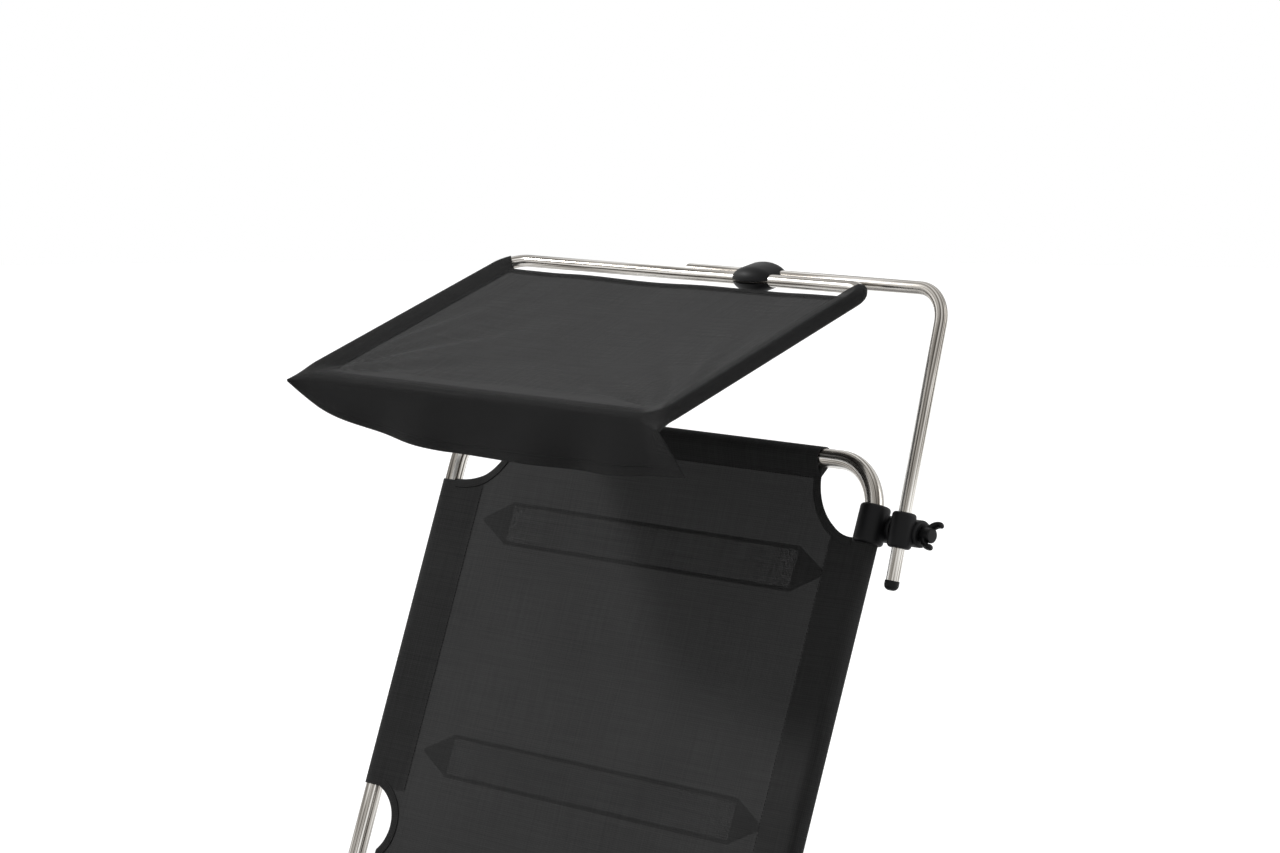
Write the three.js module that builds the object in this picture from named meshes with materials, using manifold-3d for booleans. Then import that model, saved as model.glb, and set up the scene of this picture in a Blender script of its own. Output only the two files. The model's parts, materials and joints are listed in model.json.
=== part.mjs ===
// A folding sun lounger with a clip-on sunshade.
// Millimetres, +X to the right of someone lying on it, +Y towards the head, +Z up.

import * as THREE from 'three';
import { mergeVertices } from 'three/addons/utils/BufferGeometryUtils.js';
import Module from 'manifold-3d';

const wasm = await Module();
wasm.setup();

// Frame
const frameWidth = 650; // between the axes of the side tubes
const seatHeight = 290; // side tube axis above the ground
const backLength = 603; // back hinge pin to top rail axis
const seatLength = 640; // back hinge pin to foot hinge pin
const footLength = 600; // foot hinge pin to end rail axis
const tubeDiameter = 20;
const tubeWall = 1.2;
const frameBendRadius = 61;
const backAngle = 70.1; // degrees from lying flat

// Hinges
const discRadius = 24;
const discThickness = 6.7;
const hingeReach = 62; // pin to the end of the tube
const armHeight = 18;
const collarLength = 6;
const plugLength = 34;
const hingePinDiameter = 8;
const hingeHeadDiameter = 17;
const hingeHeadThickness = 2.5;
const toothDepth = 2;
const toothCount = 24;
const pawlReach = 37; // hinge pin to pawl stud
const pawlStudDiameter = 4;
const pawlWidth = 11;
const pawlTailLength = 6;
const pawlTipWidth = 3;
const pawlTipGap = 0.6;

// Legs
const legDiameter = 18;
const legBendRadius = 50;
const pivotDrop = 28; // side tube axis to leg axle
const legTopReach = 10; // leg tube beyond its axle
const rearLegPlace = 90; // from the back hinge
const middleLegPlace = 90; // from the foot hinge
const frontLegPlace = 480; // from the foot hinge
const rearLegSplay = 30; // degrees
const middleLegSplay = 8; // degrees
const frontLegSplay = 8; // degrees
const axleDiameter = 10;
const axleHeadDiameter = 16;
const axleHeadThickness = 3;
const bracketLength = 36;
const bracketCheek = 3;
const bracketBelow = 14;
const bracketTopGap = 2;
const bracketNarrowing = 9;
const stopStart = 8;
const stopEnd = 26;
const stopThickness = 3;
const padLength = 44;
const padWidth = 26;
const padSole = 4.7;
const padAboveAxis = 6;
const padChamfer = 4;
const padInset = 30; // from the end of the leg's bend

// Sling
const slingThickness = 2;
const sleeveCloth = 1.65;
const sideBand = 64; // sleeve's outer edge to its seam
const railBand = 35;
const railSleeveInset = 87; // side tube axis to the end of the rail sleeve
const hingeCutoutReach = 155; // hinge pin to the sleeve
const hingeCutPlace = 113; // hinge pin to the middle of the round cut-out
const hingeCutRadius = 46;
const hingeGap = 6; // hinge pin to the panel's edge
const bodyEdgeInset = 47;
const backCornerGap = 98; // top edge to the end of the side sleeve
const backCutRadius = 72;
const backCutDrop = 10;
const footCornerGap = 172;
const footCutRadius = 160;
const bandWidth = 45;
const bandThickness = 1.2;
const bandInset = 105; // side tube axis to the root of the band's point
const bandTipLength = 42;
const upperBandPlace = 134; // top edge to the middle of the band
const lowerBandPlace = 408;

// Clamp between frame and sunshade rod
const rodDiameter = 14;
const rodWall = 1.2;
const rodOffset = 42; // side tube axis to rod axis
const clampPlace = 76; // top edge to the middle of the clamp
const boltOffset = 17; // tube axis to bolt axis
const frameClampLength = 42;
const frameClampWall = 6;
const rodClampLength = 38;
const rodClampWall = 5.5;
const bossRadius = 12;
const bossOutreach = 15; // rod axis or tube axis to the boss's outer face
const slitWidth = 3;
const boltDiameter = 6;
const boltHeadDiameter = 12;
const boltHeadThickness = 4;
const boltEndReach = 10; // thread inside the knob
const knobHubDiameter = 16;
const knobLength = 15;
const wingSpan = 36;
const wingWidth = 12;
const wingThickness = 4;
const wingTurn = 62; // degrees

// Rod and clip
const rodLean = 4.6; // degrees ahead of the backrest
const rodHeight = 254; // clamp to the corner of the rod
const rodBelow = 58; // clamp to the lower end
const rodBendRadius = 35;
const rodPastMiddle = 9; // rod's open end beyond the middle of the lounger
const capWall = 1.5;
const capLength = 16;
const clipSide = 99; // middle of the lounger to the middle of the clip
const clipLength = 46;
const clipWall = 3.2;
const clipSlot = 5;
const barBelow = 7.5; // rod axis to canopy bar axis, down the rod
const barAhead = 14.8; // rod axis to canopy bar axis, forwards

// Canopy
const canopyInset = 33.5; // side tube axis to the canopy's side tube axis
const canopyDepth = 336;
const canopyTubeDiameter = 14;
const canopyTubeWall = 1.2;
const canopyBendRadius = 28;
const canopyTilt = 54.9; // degrees from the rod's upright
const canopyShift = 4; // canopy's middle to the left of the frame's
const plugHalfLength = 30;
const canopyCloth = 1.2;
const canopyPanelThickness = 2;
const canopySideBand = 47;
const canopyRearGap = 24;
const canopySleeveReach = 2; // sleeve beyond the bends at the rear corners
const valanceDrop = 67;
const valanceThickness = 1.6;
const valanceWave = 4;
const valanceLean = 19.8; // degrees between the canopy's plane and level
const cornerCurl = 110; // degrees
const cornerCurlWidth = 200;
const cornerRiseShare = 0.5;

// Fits
const clearance = 0.3;
const boreClearance = 0.35;
const overrun = 5;

// Mesh fineness
const tubeSides = 12;
const boreSides = 8;
const pinSides = 16;
const bendSteps = 4;
const valanceWaves = 3.5;
const valanceColumns = 28;
const valanceRows = 3;

const degrees = THREE.MathUtils.degToRad;
const halfWidth = frameWidth / 2;
const tubeRadius = tubeDiameter / 2;
const tubeBore = tubeRadius - tubeWall;
const sleeveRadius = tubeRadius + boreClearance + sleeveCloth;
const legRadius = legDiameter / 2;
const rodRadius = rodDiameter / 2;
const axleRadius = axleDiameter / 2;
const plugShare = Math.cos(Math.PI / boreSides);

const aluminium = { color: 0xc9c9c6, roughness: 0.3, metalness: 1 };
const steel = { color: 0x9c9ea0, roughness: 0.35, metalness: 1 };
const plastic = { color: 0x0c0c0e, roughness: 0.4, metalness: 0 };
const mesh = { color: 0x323232, roughness: 0.85, metalness: 0 };
const canvas = { color: 0x434343, roughness: 0.9, metalness: 0 };

// Solids and booleans

function toManifold(geometry) {
  const bare = geometry.clone();
  bare.deleteAttribute('normal');
  bare.deleteAttribute('uv');
  const merged = mergeVertices(bare);
  const corners = merged.index.array;
  const kept = [];
  for (let i = 0; i < corners.length; i += 3) {
    const [a, b, c] = corners.slice(i, i + 3);
    if (a !== b && b !== c && c !== a) kept.push(a, b, c);
  }
  const source = new wasm.Mesh({
    numProp: 3,
    vertProperties: merged.attributes.position.array,
    triVerts: new Uint32Array(kept),
  });
  return new wasm.Manifold(source);
}

function toGeometry(manifold) {
  const { vertProperties, triVerts } = manifold.getMesh();
  const geometry = new THREE.BufferGeometry();
  geometry.setAttribute('position', new THREE.BufferAttribute(vertProperties, 3));
  geometry.setIndex(new THREE.BufferAttribute(triVerts, 1));
  geometry.computeVertexNormals();
  return geometry;
}

function combine(added, removed = []) {
  let result = toManifold(added[0]);
  for (const geometry of added.slice(1)) result = result.add(toManifold(geometry));
  for (const geometry of removed) result = result.subtract(toManifold(geometry));
  return toGeometry(result);
}

function mirrored(geometry) {
  const copy = geometry.index ? geometry.toNonIndexed() : geometry.clone();
  copy.scale(-1, 1, 1);
  const place = copy.attributes.position;
  for (let i = 0; i < place.count; i += 3) {
    const second = new THREE.Vector3().fromBufferAttribute(place, i + 1);
    const third = new THREE.Vector3().fromBufferAttribute(place, i + 2);
    place.setXYZ(i + 1, third.x, third.y, third.z);
    place.setXYZ(i + 2, second.x, second.y, second.z);
  }
  copy.computeVertexNormals();
  return copy;
}

// Prisms and round bars

function extruded(shape, depth, curveSegments = pinSides) {
  return new THREE.ExtrudeGeometry(shape, { depth, bevelEnabled: false, curveSegments });
}

// The shape's x and y run along Y and Z.
function alongX(shape, from, to, curveSegments) {
  const geometry = extruded(shape, to - from, curveSegments);
  geometry.rotateY(Math.PI / 2);
  geometry.rotateX(Math.PI / 2);
  return geometry.translate(from, 0, 0);
}

// The shape's x and y run along X and Z.
function alongY(shape, from, to, curveSegments) {
  return extruded(shape, to - from, curveSegments).rotateX(Math.PI / 2).translate(0, to, 0);
}

function alongZ(shape, from, to, curveSegments) {
  return extruded(shape, to - from, curveSegments).translate(0, 0, from);
}

function barX(radius, from, to, sides = pinSides) {
  const bar = new THREE.CylinderGeometry(radius, radius, to - from, sides);
  return bar.rotateZ(-Math.PI / 2).translate((from + to) / 2, 0, 0);
}

function barY(radius, from, to, sides = pinSides) {
  const bar = new THREE.CylinderGeometry(radius, radius, to - from, sides);
  return bar.translate(0, (from + to) / 2, 0);
}

function polygon(points) {
  return new THREE.Shape(points.map(([x, y]) => new THREE.Vector2(x, y)));
}

function ring(outerRadius, innerRadius, outerSides = tubeSides) {
  const circle = (radius, sides) => {
    const turn = (i) => (i * 2 * Math.PI) / sides;
    return Array.from({ length: sides }, (_, i) => (
      new THREE.Vector2(radius * Math.cos(turn(i)), radius * Math.sin(turn(i)))
    ));
  };
  const shape = new THREE.Shape(circle(outerRadius, outerSides));
  if (innerRadius > 0) shape.holes.push(new THREE.Path(circle(innerRadius, boreSides)));
  return shape;
}

// Straight runs joined by arcs, with a station at each end of a run and a few along each arc.
class BentPath extends THREE.Curve {
  constructor(corners, bendRadius) {
    super();
    this.stations = [];
    corners.forEach((corner, i) => {
      const before = corners[i - 1];
      const after = corners[i + 1];
      if (before && after) this.addBend(before, corner, after, bendRadius);
      else this.addEnd(corner, before ?? corner, after ?? corner);
    });
  }

  addEnd(corner, before, after) {
    const tangent = after.clone().sub(before).normalize();
    this.stations.push({ point: corner.clone(), tangent });
  }

  addBend(before, corner, after, bendRadius) {
    const ahead = corner.clone().sub(before).normalize();
    const next = after.clone().sub(corner).normalize();
    const turn = ahead.angleTo(next);
    const inward = next.clone().addScaledVector(ahead, -ahead.dot(next)).normalize();
    const start = corner.clone().addScaledVector(ahead, -bendRadius * Math.tan(turn / 2));
    const centre = start.clone().addScaledVector(inward, bendRadius);
    for (let i = 0; i <= bendSteps; i += 1) {
      const angle = (turn * i) / bendSteps;
      const point = centre.clone().addScaledVector(inward, -bendRadius * Math.cos(angle));
      point.addScaledVector(ahead, bendRadius * Math.sin(angle));
      const tangent = ahead.clone().multiplyScalar(Math.cos(angle));
      tangent.addScaledVector(inward, Math.sin(angle));
      this.stations.push({ point, tangent });
    }
  }

  stationAt(u) {
    return this.stations[Math.round(u * (this.stations.length - 1))];
  }

  getPoint(u, target = new THREE.Vector3()) {
    return target.copy(this.stationAt(u).point);
  }

  getPointAt(u, target) {
    return this.getPoint(u, target);
  }

  getTangentAt(u, target = new THREE.Vector3()) {
    return target.copy(this.stationAt(u).tangent);
  }
}

function bentTube(corners, bendRadius, outerRadius, innerRadius, sides = tubeSides) {
  const path = new BentPath(corners.map((corner) => new THREE.Vector3(...corner)), bendRadius);
  return new THREE.ExtrudeGeometry(ring(outerRadius, innerRadius, sides), {
    steps: path.stations.length - 1,
    bevelEnabled: false,
    extrudePath: path,
  });
}

// A pin along X: shaft between two heads.
function headedPin(radius, headRadius, headThickness, from, to) {
  const outline = [
    [0, from - headThickness],
    [headRadius, from - headThickness],
    [headRadius, from],
    [radius, from],
    [radius, to],
    [headRadius, to],
    [headRadius, to + headThickness],
    [0, to + headThickness],
  ];
  const profile = outline.map(([x, y]) => new THREE.Vector2(x, y));
  return new THREE.LatheGeometry(profile, pinSides).rotateZ(-Math.PI / 2);
}

// Tree helpers

function part(parent, name, geometry, look) {
  const piece = new THREE.Mesh(geometry, new THREE.MeshStandardMaterial(look));
  piece.name = name;
  parent.add(piece);
  return piece;
}

function section(parent, place, turn = 0) {
  const group = new THREE.Group();
  group.position.set(...place);
  group.rotation.x = degrees(turn);
  parent.add(group);
  return group;
}

const sides = [['left', -1], ['right', 1]];

function pair(parent, stem, tail, rightHand, look) {
  for (const [side, sign] of sides) {
    const geometry = sign > 0 ? rightHand : mirrored(rightHand);
    part(parent, `${stem}_${side}${tail}`, geometry, look);
  }
}

// Hinges: two discs side by side on one pin, each with an arm that plugs into its tube.

function discOutline(toothed) {
  if (!toothed) return new THREE.Shape().absarc(0, 0, discRadius, 0, 2 * Math.PI);
  const points = [];
  for (let i = 0; i < toothCount; i += 1) {
    const turn = (2 * Math.PI * i) / toothCount;
    const next = (2 * Math.PI * (i + 1)) / toothCount;
    const root = discRadius - toothDepth;
    points.push([discRadius * Math.cos(turn), discRadius * Math.sin(turn)]);
    points.push([root * Math.cos(next), root * Math.sin(next)]);
  }
  return polygon(points);
}

function hingeHalf(direction, layer, { toothed = false, studded = false } = {}) {
  const inner = layer > 0 ? clearance / 2 : -clearance / 2 - discThickness;
  const outer = inner + discThickness;
  const span = (a, b) => [Math.min(direction * a, direction * b), Math.max(direction * a, direction * b)];
  const [armFrom, armTo] = span(0, hingeReach);
  const arm = polygon([
    [armFrom, -armHeight / 2],
    [armTo, -armHeight / 2],
    [armTo, armHeight / 2],
    [armFrom, armHeight / 2],
  ]);
  const plugRadius = tubeBore * plugShare - clearance;
  const added = [
    alongX(discOutline(toothed), inner, outer, pinSides / 2),
    alongX(arm, inner, outer),
    barY(tubeRadius, ...span(hingeReach - collarLength, hingeReach - clearance)),
    barY(plugRadius, ...span(hingeReach - collarLength / 2, hingeReach + plugLength), boreSides),
  ];
  if (studded) {
    const stud = barX(pawlStudDiameter / 2, inner + clearance, discThickness, boreSides);
    added.push(stud.translate(0, direction * pawlReach, 0));
  }
  const hole = barX(hingePinDiameter / 2 + clearance, inner - overrun, outer + overrun);
  return combine(added, [hole]).translate(halfWidth, 0, 0);
}

function hingePin() {
  const reach = clearance / 2 + discThickness + clearance;
  const pin = headedPin(
    hingePinDiameter / 2,
    hingeHeadDiameter / 2,
    hingeHeadThickness,
    -reach,
    reach,
  );
  return pin.translate(halfWidth, 0, 0);
}

function pawl() {
  const tip = discRadius + pawlTipGap;
  const outline = polygon([
    [tip, -pawlTipWidth / 2],
    [pawlReach - pawlTailLength, -pawlWidth / 2],
    [pawlReach + pawlTailLength, -pawlWidth / 2],
    [pawlReach + pawlTailLength, pawlWidth / 2],
    [pawlReach - pawlTailLength, pawlWidth / 2],
    [tip, pawlTipWidth / 2],
  ]);
  const hole = barX(pawlStudDiameter / 2 + clearance, -overrun, discThickness + overrun);
  const body = alongX(outline, clearance, discThickness - clearance);
  return combine([body], [hole.translate(0, pawlReach, 0)]).translate(halfWidth, 0, 0);
}

// Legs: a U of tube on an axle, held under the side tubes by stamped brackets.

function bracket(splaySign, splay) {
  const angle = degrees(splay);
  const half = bracketLength / 2;
  const top = pivotDrop - bracketTopGap;
  const body = polygon([
    [-half, top],
    [-half, 0],
    [bracketNarrowing - half, -bracketBelow],
    [half - bracketNarrowing, -bracketBelow],
    [half, 0],
    [half, top],
  ]);
  const legWay = legRadius + clearance;
  const at = (down, across) => [
    splaySign * (down * Math.sin(angle) + across * Math.cos(angle)),
    across * Math.sin(angle) - down * Math.cos(angle),
  ];
  const stop = polygon([
    at(stopStart, 0),
    at(stopEnd, 0),
    at(stopEnd, legWay + stopThickness),
    at(stopStart, legWay + stopThickness),
  ]);
  const endReach = Math.hypot(legTopReach, legRadius) + clearance;
  const onStop = (z) => [splaySign * (legWay - Math.sin(angle) * z) / Math.cos(angle), z];
  const far = stopEnd + bracketLength;
  const way = polygon([onStop(endReach), onStop(-far), [-splaySign * far, -far], [-splaySign * far, endReach]]);
  const outer = legWay + bracketCheek;
  const geometry = combine(
    [alongX(body, -outer, outer), alongX(stop, -outer, outer)],
    [
      alongX(way, -legWay, legWay),
      barX(endReach, -legWay, legWay),
      barX(axleRadius + clearance, -outer - overrun, outer + overrun),
      barY(tubeRadius + boreClearance, -bracketLength, bracketLength).translate(0, 0, pivotDrop),
    ],
  );
  return geometry.translate(halfWidth, 0, 0);
}

function legTube(length) {
  const tube = bentTube(
    [
      [-halfWidth, 0, legTopReach],
      [-halfWidth, 0, -length],
      [halfWidth, 0, -length],
      [halfWidth, 0, legTopReach],
    ],
    legBendRadius,
    legRadius,
    legRadius - tubeWall,
  );
  return combine([tube], [barX(axleRadius + clearance, -frameWidth, frameWidth)]);
}

function axle() {
  const reach = halfWidth + legRadius + bracketCheek + 2 * clearance;
  return headedPin(axleRadius, axleHeadDiameter / 2, axleHeadThickness, -reach, reach);
}

const padSoleDrop = legRadius + clearance + padSole;

function footPad() {
  const half = padWidth / 2;
  const outline = polygon([
    [-half, -padSoleDrop],
    [half, -padSoleDrop],
    [half, padAboveAxis - padChamfer],
    [half - padChamfer, padAboveAxis],
    [padChamfer - half, padAboveAxis],
    [-half, padAboveAxis - padChamfer],
  ]);
  const middle = halfWidth - legBendRadius - padInset;
  const block = alongX(outline, middle - padLength / 2, middle + padLength / 2);
  return combine([block], [barX(legRadius + clearance, 0, frameWidth)]);
}

// The leg's tube turns by splay at its axle, and its pads stay level with the ground.
function addLeg(parent, name, place, splaySign, splay) {
  const mount = section(parent, [0, place, -pivotDrop]);
  pair(mount, `${name}_leg_bracket`, '', bracket(splaySign, splay), steel);
  part(mount, `${name}_leg_axle`, axle(), steel);
  const drop = seatHeight - pivotDrop - padSoleDrop;
  const length = drop / Math.cos(degrees(splay));
  const leg = section(mount, [0, 0, 0], splaySign * splay);
  part(leg, `${name}_leg_tube`, legTube(length), aluminium);
  const ground = section(leg, [0, 0, -length], -splaySign * splay);
  pair(ground, `${name}_leg_pad`, '', footPad(), plastic);
}

// Sling: mesh panels whose sleeves hold them on the tubes.

function sideSleeve(from, to) {
  const seam = sideBand - sleeveRadius;
  const outline = new THREE.Shape();
  outline.moveTo(-seam, -slingThickness / 2);
  outline.lineTo(0, -sleeveRadius);
  outline.absarc(0, 0, sleeveRadius, -Math.PI / 2, Math.PI / 2);
  outline.lineTo(-seam, slingThickness / 2);
  return alongY(outline, from, to, tubeSides).translate(halfWidth, 0, 0);
}

function railSleeve(railPlace, direction) {
  const seam = railBand - sleeveRadius;
  const outline = new THREE.Shape();
  outline.moveTo(-seam, -slingThickness / 2);
  outline.lineTo(0, -sleeveRadius);
  outline.absarc(0, 0, sleeveRadius, -Math.PI / 2, Math.PI / 2);
  outline.lineTo(-seam, slingThickness / 2);
  const sleeve = alongX(outline, -railSleeveHalf, railSleeveHalf, tubeSides);
  if (direction < 0) sleeve.rotateZ(Math.PI);
  return sleeve.translate(0, direction * railPlace, 0);
}

function sideBores(from, to) {
  const bore = barY(tubeRadius + boreClearance, from - overrun, to + overrun);
  return [bore.clone().translate(halfWidth, 0, 0), bore.clone().translate(-halfWidth, 0, 0)];
}

const slingHalfWidth = halfWidth + sleeveRadius;
const bodyEdge = slingHalfWidth - bodyEdgeInset;
const railSleeveHalf = halfWidth - railSleeveInset;

// A round bite out of the panel's edge, which runs up on the right side and down on the left.
function biteEdge(outline, side, place) {
  const opening = Math.acos((halfWidth - bodyEdge) / hingeCutRadius);
  const inward = side > 0 ? Math.PI : 0;
  outline.absarc(side * halfWidth, place, hingeCutRadius, inward + opening, inward - opening, true);
}

// The backrest's and the foot section's panel, from the hinge to the rail.
function endPanel(length, sleeveEnd, cutRadius, cutDrop, direction) {
  const half = railSleeveHalf;
  const centre = [half + cutRadius, length - cutDrop];
  const endAngle = Math.acos((bodyEdge - centre[0]) / cutRadius);
  const outline = new THREE.Shape();
  outline.moveTo(-bodyEdge, hingeGap);
  outline.lineTo(bodyEdge, hingeGap);
  biteEdge(outline, 1, hingeCutPlace);
  outline.absarc(centre[0], centre[1], cutRadius, -endAngle, -Math.PI, true);
  outline.lineTo(half, length);
  outline.lineTo(-half, length);
  outline.absarc(-centre[0], centre[1], cutRadius, 0, endAngle - Math.PI, true);
  biteEdge(outline, -1, hingeCutPlace);
  const panel = alongZ(outline, -slingThickness / 2, slingThickness / 2, tubeSides);
  const sleeve = sideSleeve(hingeCutoutReach, sleeveEnd);
  const bores = sideBores(hingeCutoutReach, sleeveEnd);
  const pieces = [panel, sleeve, mirrored(sleeve)];
  if (direction < 0) for (const piece of [...pieces, ...bores]) piece.rotateZ(Math.PI);
  pieces.push(railSleeve(length, direction));
  const railBore = barX(tubeRadius + boreClearance, -halfWidth, halfWidth);
  return combine(pieces, [...bores, railBore.translate(0, direction * length, 0)]);
}

function seatPanel() {
  const outline = new THREE.Shape();
  outline.moveTo(-bodyEdge, hingeGap - seatLength);
  outline.lineTo(bodyEdge, hingeGap - seatLength);
  biteEdge(outline, 1, hingeCutPlace - seatLength);
  biteEdge(outline, 1, -hingeCutPlace);
  outline.lineTo(bodyEdge, -hingeGap);
  outline.lineTo(-bodyEdge, -hingeGap);
  biteEdge(outline, -1, -hingeCutPlace);
  biteEdge(outline, -1, hingeCutPlace - seatLength);
  const panel = alongZ(outline, -slingThickness / 2, slingThickness / 2, tubeSides);
  const sleeve = sideSleeve(hingeCutoutReach - seatLength, -hingeCutoutReach);
  const bores = sideBores(hingeCutoutReach - seatLength, -hingeCutoutReach);
  return combine([panel, sleeve, mirrored(sleeve)], bores);
}

// A reinforcing band with pointed ends, sewn across the back of the sling.
function crossBand(place) {
  const half = halfWidth - bandInset;
  const height = bandWidth / 2;
  const outline = polygon([
    [-half, -height],
    [half, -height],
    [half + bandTipLength, 0],
    [half, height],
    [-half, height],
    [-half - bandTipLength, 0],
  ]);
  const front = -slingThickness / 2 - clearance;
  return alongZ(outline, front - bandThickness, front).translate(0, place, 0);
}

// Clamp: two split barrels on one cross bolt, each squeezed by its ears.

function splitBarrel(bore, wall, length, bossFrom, bossTo) {
  const outer = bore + wall;
  const slit = new THREE.BoxGeometry(slitWidth, length + overrun, boltOffset + bossRadius + overrun);
  slit.translate(0, 0, -(boltOffset + bossRadius + overrun) / 2);
  const barrel = barY(outer, -length / 2, length / 2);
  const boss = barX(bossRadius, bossFrom, bossTo).translate(0, 0, -boltOffset);
  const boltHole = barX(boltDiameter / 2 + clearance, bossFrom - overrun, bossTo + overrun);
  boltHole.translate(0, 0, -boltOffset);
  return combine([barrel, boss], [barY(bore, -length, length), slit, boltHole]);
}

const rodX = halfWidth + rodOffset;
const bossJoint = rodOffset / 2;

function frameClamp() {
  const barrel = splitBarrel(
    tubeRadius + boreClearance,
    frameClampWall,
    frameClampLength,
    -bossOutreach,
    bossJoint - clearance / 2,
  );
  const bend = backTube(tubeRadius + boreClearance, 0).translate(-halfWidth, clampPlace - backTopEdge, 0);
  return combine([barrel], [bend]).translate(halfWidth, 0, 0);
}

function rodClamp() {
  const bore = rodRadius + boreClearance;
  return splitBarrel(bore, rodClampWall, rodClampLength, clearance / 2 - bossJoint, bossOutreach);
}

function clampBolt() {
  const headFace = halfWidth - bossOutreach - clearance;
  const head = barX(boltHeadDiameter / 2, headFace - boltHeadThickness, headFace, tubeSides / 2);
  const shank = barX(boltDiameter / 2, headFace - clearance, rodX + bossOutreach + boltEndReach);
  return combine([head, shank]);
}

function wingKnob() {
  const from = rodX + bossOutreach + clearance;
  const half = wingSpan / 2;
  const low = wingWidth / 2 - half;
  const wing = new THREE.Shape();
  wing.moveTo(low, -wingThickness / 2);
  wing.lineTo(-low, -wingThickness / 2);
  wing.lineTo(half, 0);
  wing.lineTo(-low, wingThickness / 2);
  wing.lineTo(low, wingThickness / 2);
  wing.lineTo(-half, 0);
  const wings = alongX(wing, from + knobLength - wingWidth, from + knobLength + wingThickness);
  wings.rotateX(degrees(wingTurn));
  const hub = barX(knobHubDiameter / 2, from, from + knobLength);
  const socket = barX(boltDiameter / 2 + clearance, from - overrun, from + boltEndReach + clearance);
  return combine([hub, wings], [socket]);
}

// The sunshade's rod: up from the clamp, then across towards the middle.

function canopyRod() {
  return bentTube(
    [[0, -rodBelow, 0], [0, rodHeight, 0], [-rodX - rodPastMiddle, rodHeight, 0]],
    rodBendRadius,
    rodRadius,
    rodRadius - rodWall,
  );
}

function rodEndCap() {
  const inner = rodRadius + clearance;
  const outer = inner + capWall;
  const profile = [
    [0, -clearance - capWall],
    [outer - capWall, -clearance - capWall],
    [outer, -clearance],
    [outer, capLength],
    [inner, capLength],
    [inner, -clearance],
    [0, -clearance],
  ].map(([x, y]) => new THREE.Vector2(x, y));
  return new THREE.LatheGeometry(profile, pinSides).translate(0, -rodBelow, 0);
}

// The clip grips the rod in one bore and the canopy's rear bar in the other.
function canopyClip() {
  const rodAt = [0, rodHeight];
  const barAt = [barAhead, rodHeight - barBelow];
  const wall = rodRadius + boreClearance + clipWall;
  const across = Math.atan2(barAhead, -barBelow);
  const hull = new THREE.Shape();
  const toShape = ([z, y]) => [y, z];
  const [rodY, rodZ] = toShape(rodAt);
  const [barY0, barZ0] = toShape(barAt);
  hull.absarc(rodY, rodZ, wall, across + Math.PI / 2, across + 1.5 * Math.PI);
  hull.absarc(barY0, barZ0, wall, across - Math.PI / 2, across + Math.PI / 2);
  const middle = clipSide - rodX;
  const from = middle - clipLength / 2;
  const to = middle + clipLength / 2;
  const body = alongX(hull, from, to, tubeSides);
  const bore = barX(rodRadius + boreClearance, from - overrun, to + overrun);
  const slot = new THREE.BoxGeometry(clipLength + 2 * overrun, 2 * wall, clipSlot);
  slot.translate(middle, wall, 0);
  const barSlot = slot.clone().rotateX(across);
  const rodSlot = slot.clone().rotateX(across + Math.PI);
  return combine([body], [
    bore.clone().translate(0, rodY, rodZ),
    bore.clone().translate(0, barY0, barZ0),
    barSlot.translate(0, barY0, barZ0),
    rodSlot.translate(0, rodY, rodZ),
  ]);
}

// Canopy: a loop of tube, open at one butt joint that a plug holds, and a cloth on sleeves.

const canopyRadius = canopyTubeDiameter / 2;
const canopyBore = canopyRadius - canopyTubeWall;
const canopySleeve = canopyRadius + boreClearance + canopyCloth;
const canopySide = halfWidth - canopyInset;

function canopyLoop(outerRadius, innerRadius, joint) {
  return bentTube(
    [
      [-joint, -canopyDepth, 0],
      [-canopySide, -canopyDepth, 0],
      [-canopySide, 0, 0],
      [canopySide, 0, 0],
      [canopySide, -canopyDepth, 0],
      [joint, -canopyDepth, 0],
    ],
    canopyBendRadius,
    outerRadius,
    innerRadius,
  );
}

function canopySleeves() {
  const start = canopySide - canopyBendRadius - canopySleeveReach;
  return bentTube(
    [
      [-start, 0, 0],
      [-canopySide, 0, 0],
      [-canopySide, -canopyDepth, 0],
      [canopySide, -canopyDepth, 0],
      [canopySide, 0, 0],
      [start, 0, 0],
    ],
    canopyBendRadius,
    canopySleeve,
    0,
  );
}

function canopyBand() {
  const seam = canopySideBand - canopySleeve;
  const thin = canopyPanelThickness / 2;
  const outline = polygon([[-seam, -thin], [0, -canopySleeve], [0, canopySleeve], [-seam, thin]]);
  return alongY(outline, -canopyDepth, -canopyBendRadius).translate(canopySide, 0, 0);
}

function canopyPanel() {
  const thin = canopyPanelThickness / 2;
  const inner = canopySide - canopySideBand + canopySleeve;
  const outline = new THREE.Shape();
  outline.moveTo(-canopySide, -canopyDepth);
  outline.lineTo(canopySide, -canopyDepth);
  outline.lineTo(canopySide, -canopyBendRadius);
  outline.lineTo(inner, -canopyRearGap);
  outline.lineTo(-inner, -canopyRearGap);
  outline.lineTo(-canopySide, -canopyBendRadius);
  return alongZ(outline, -thin, thin);
}

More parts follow.
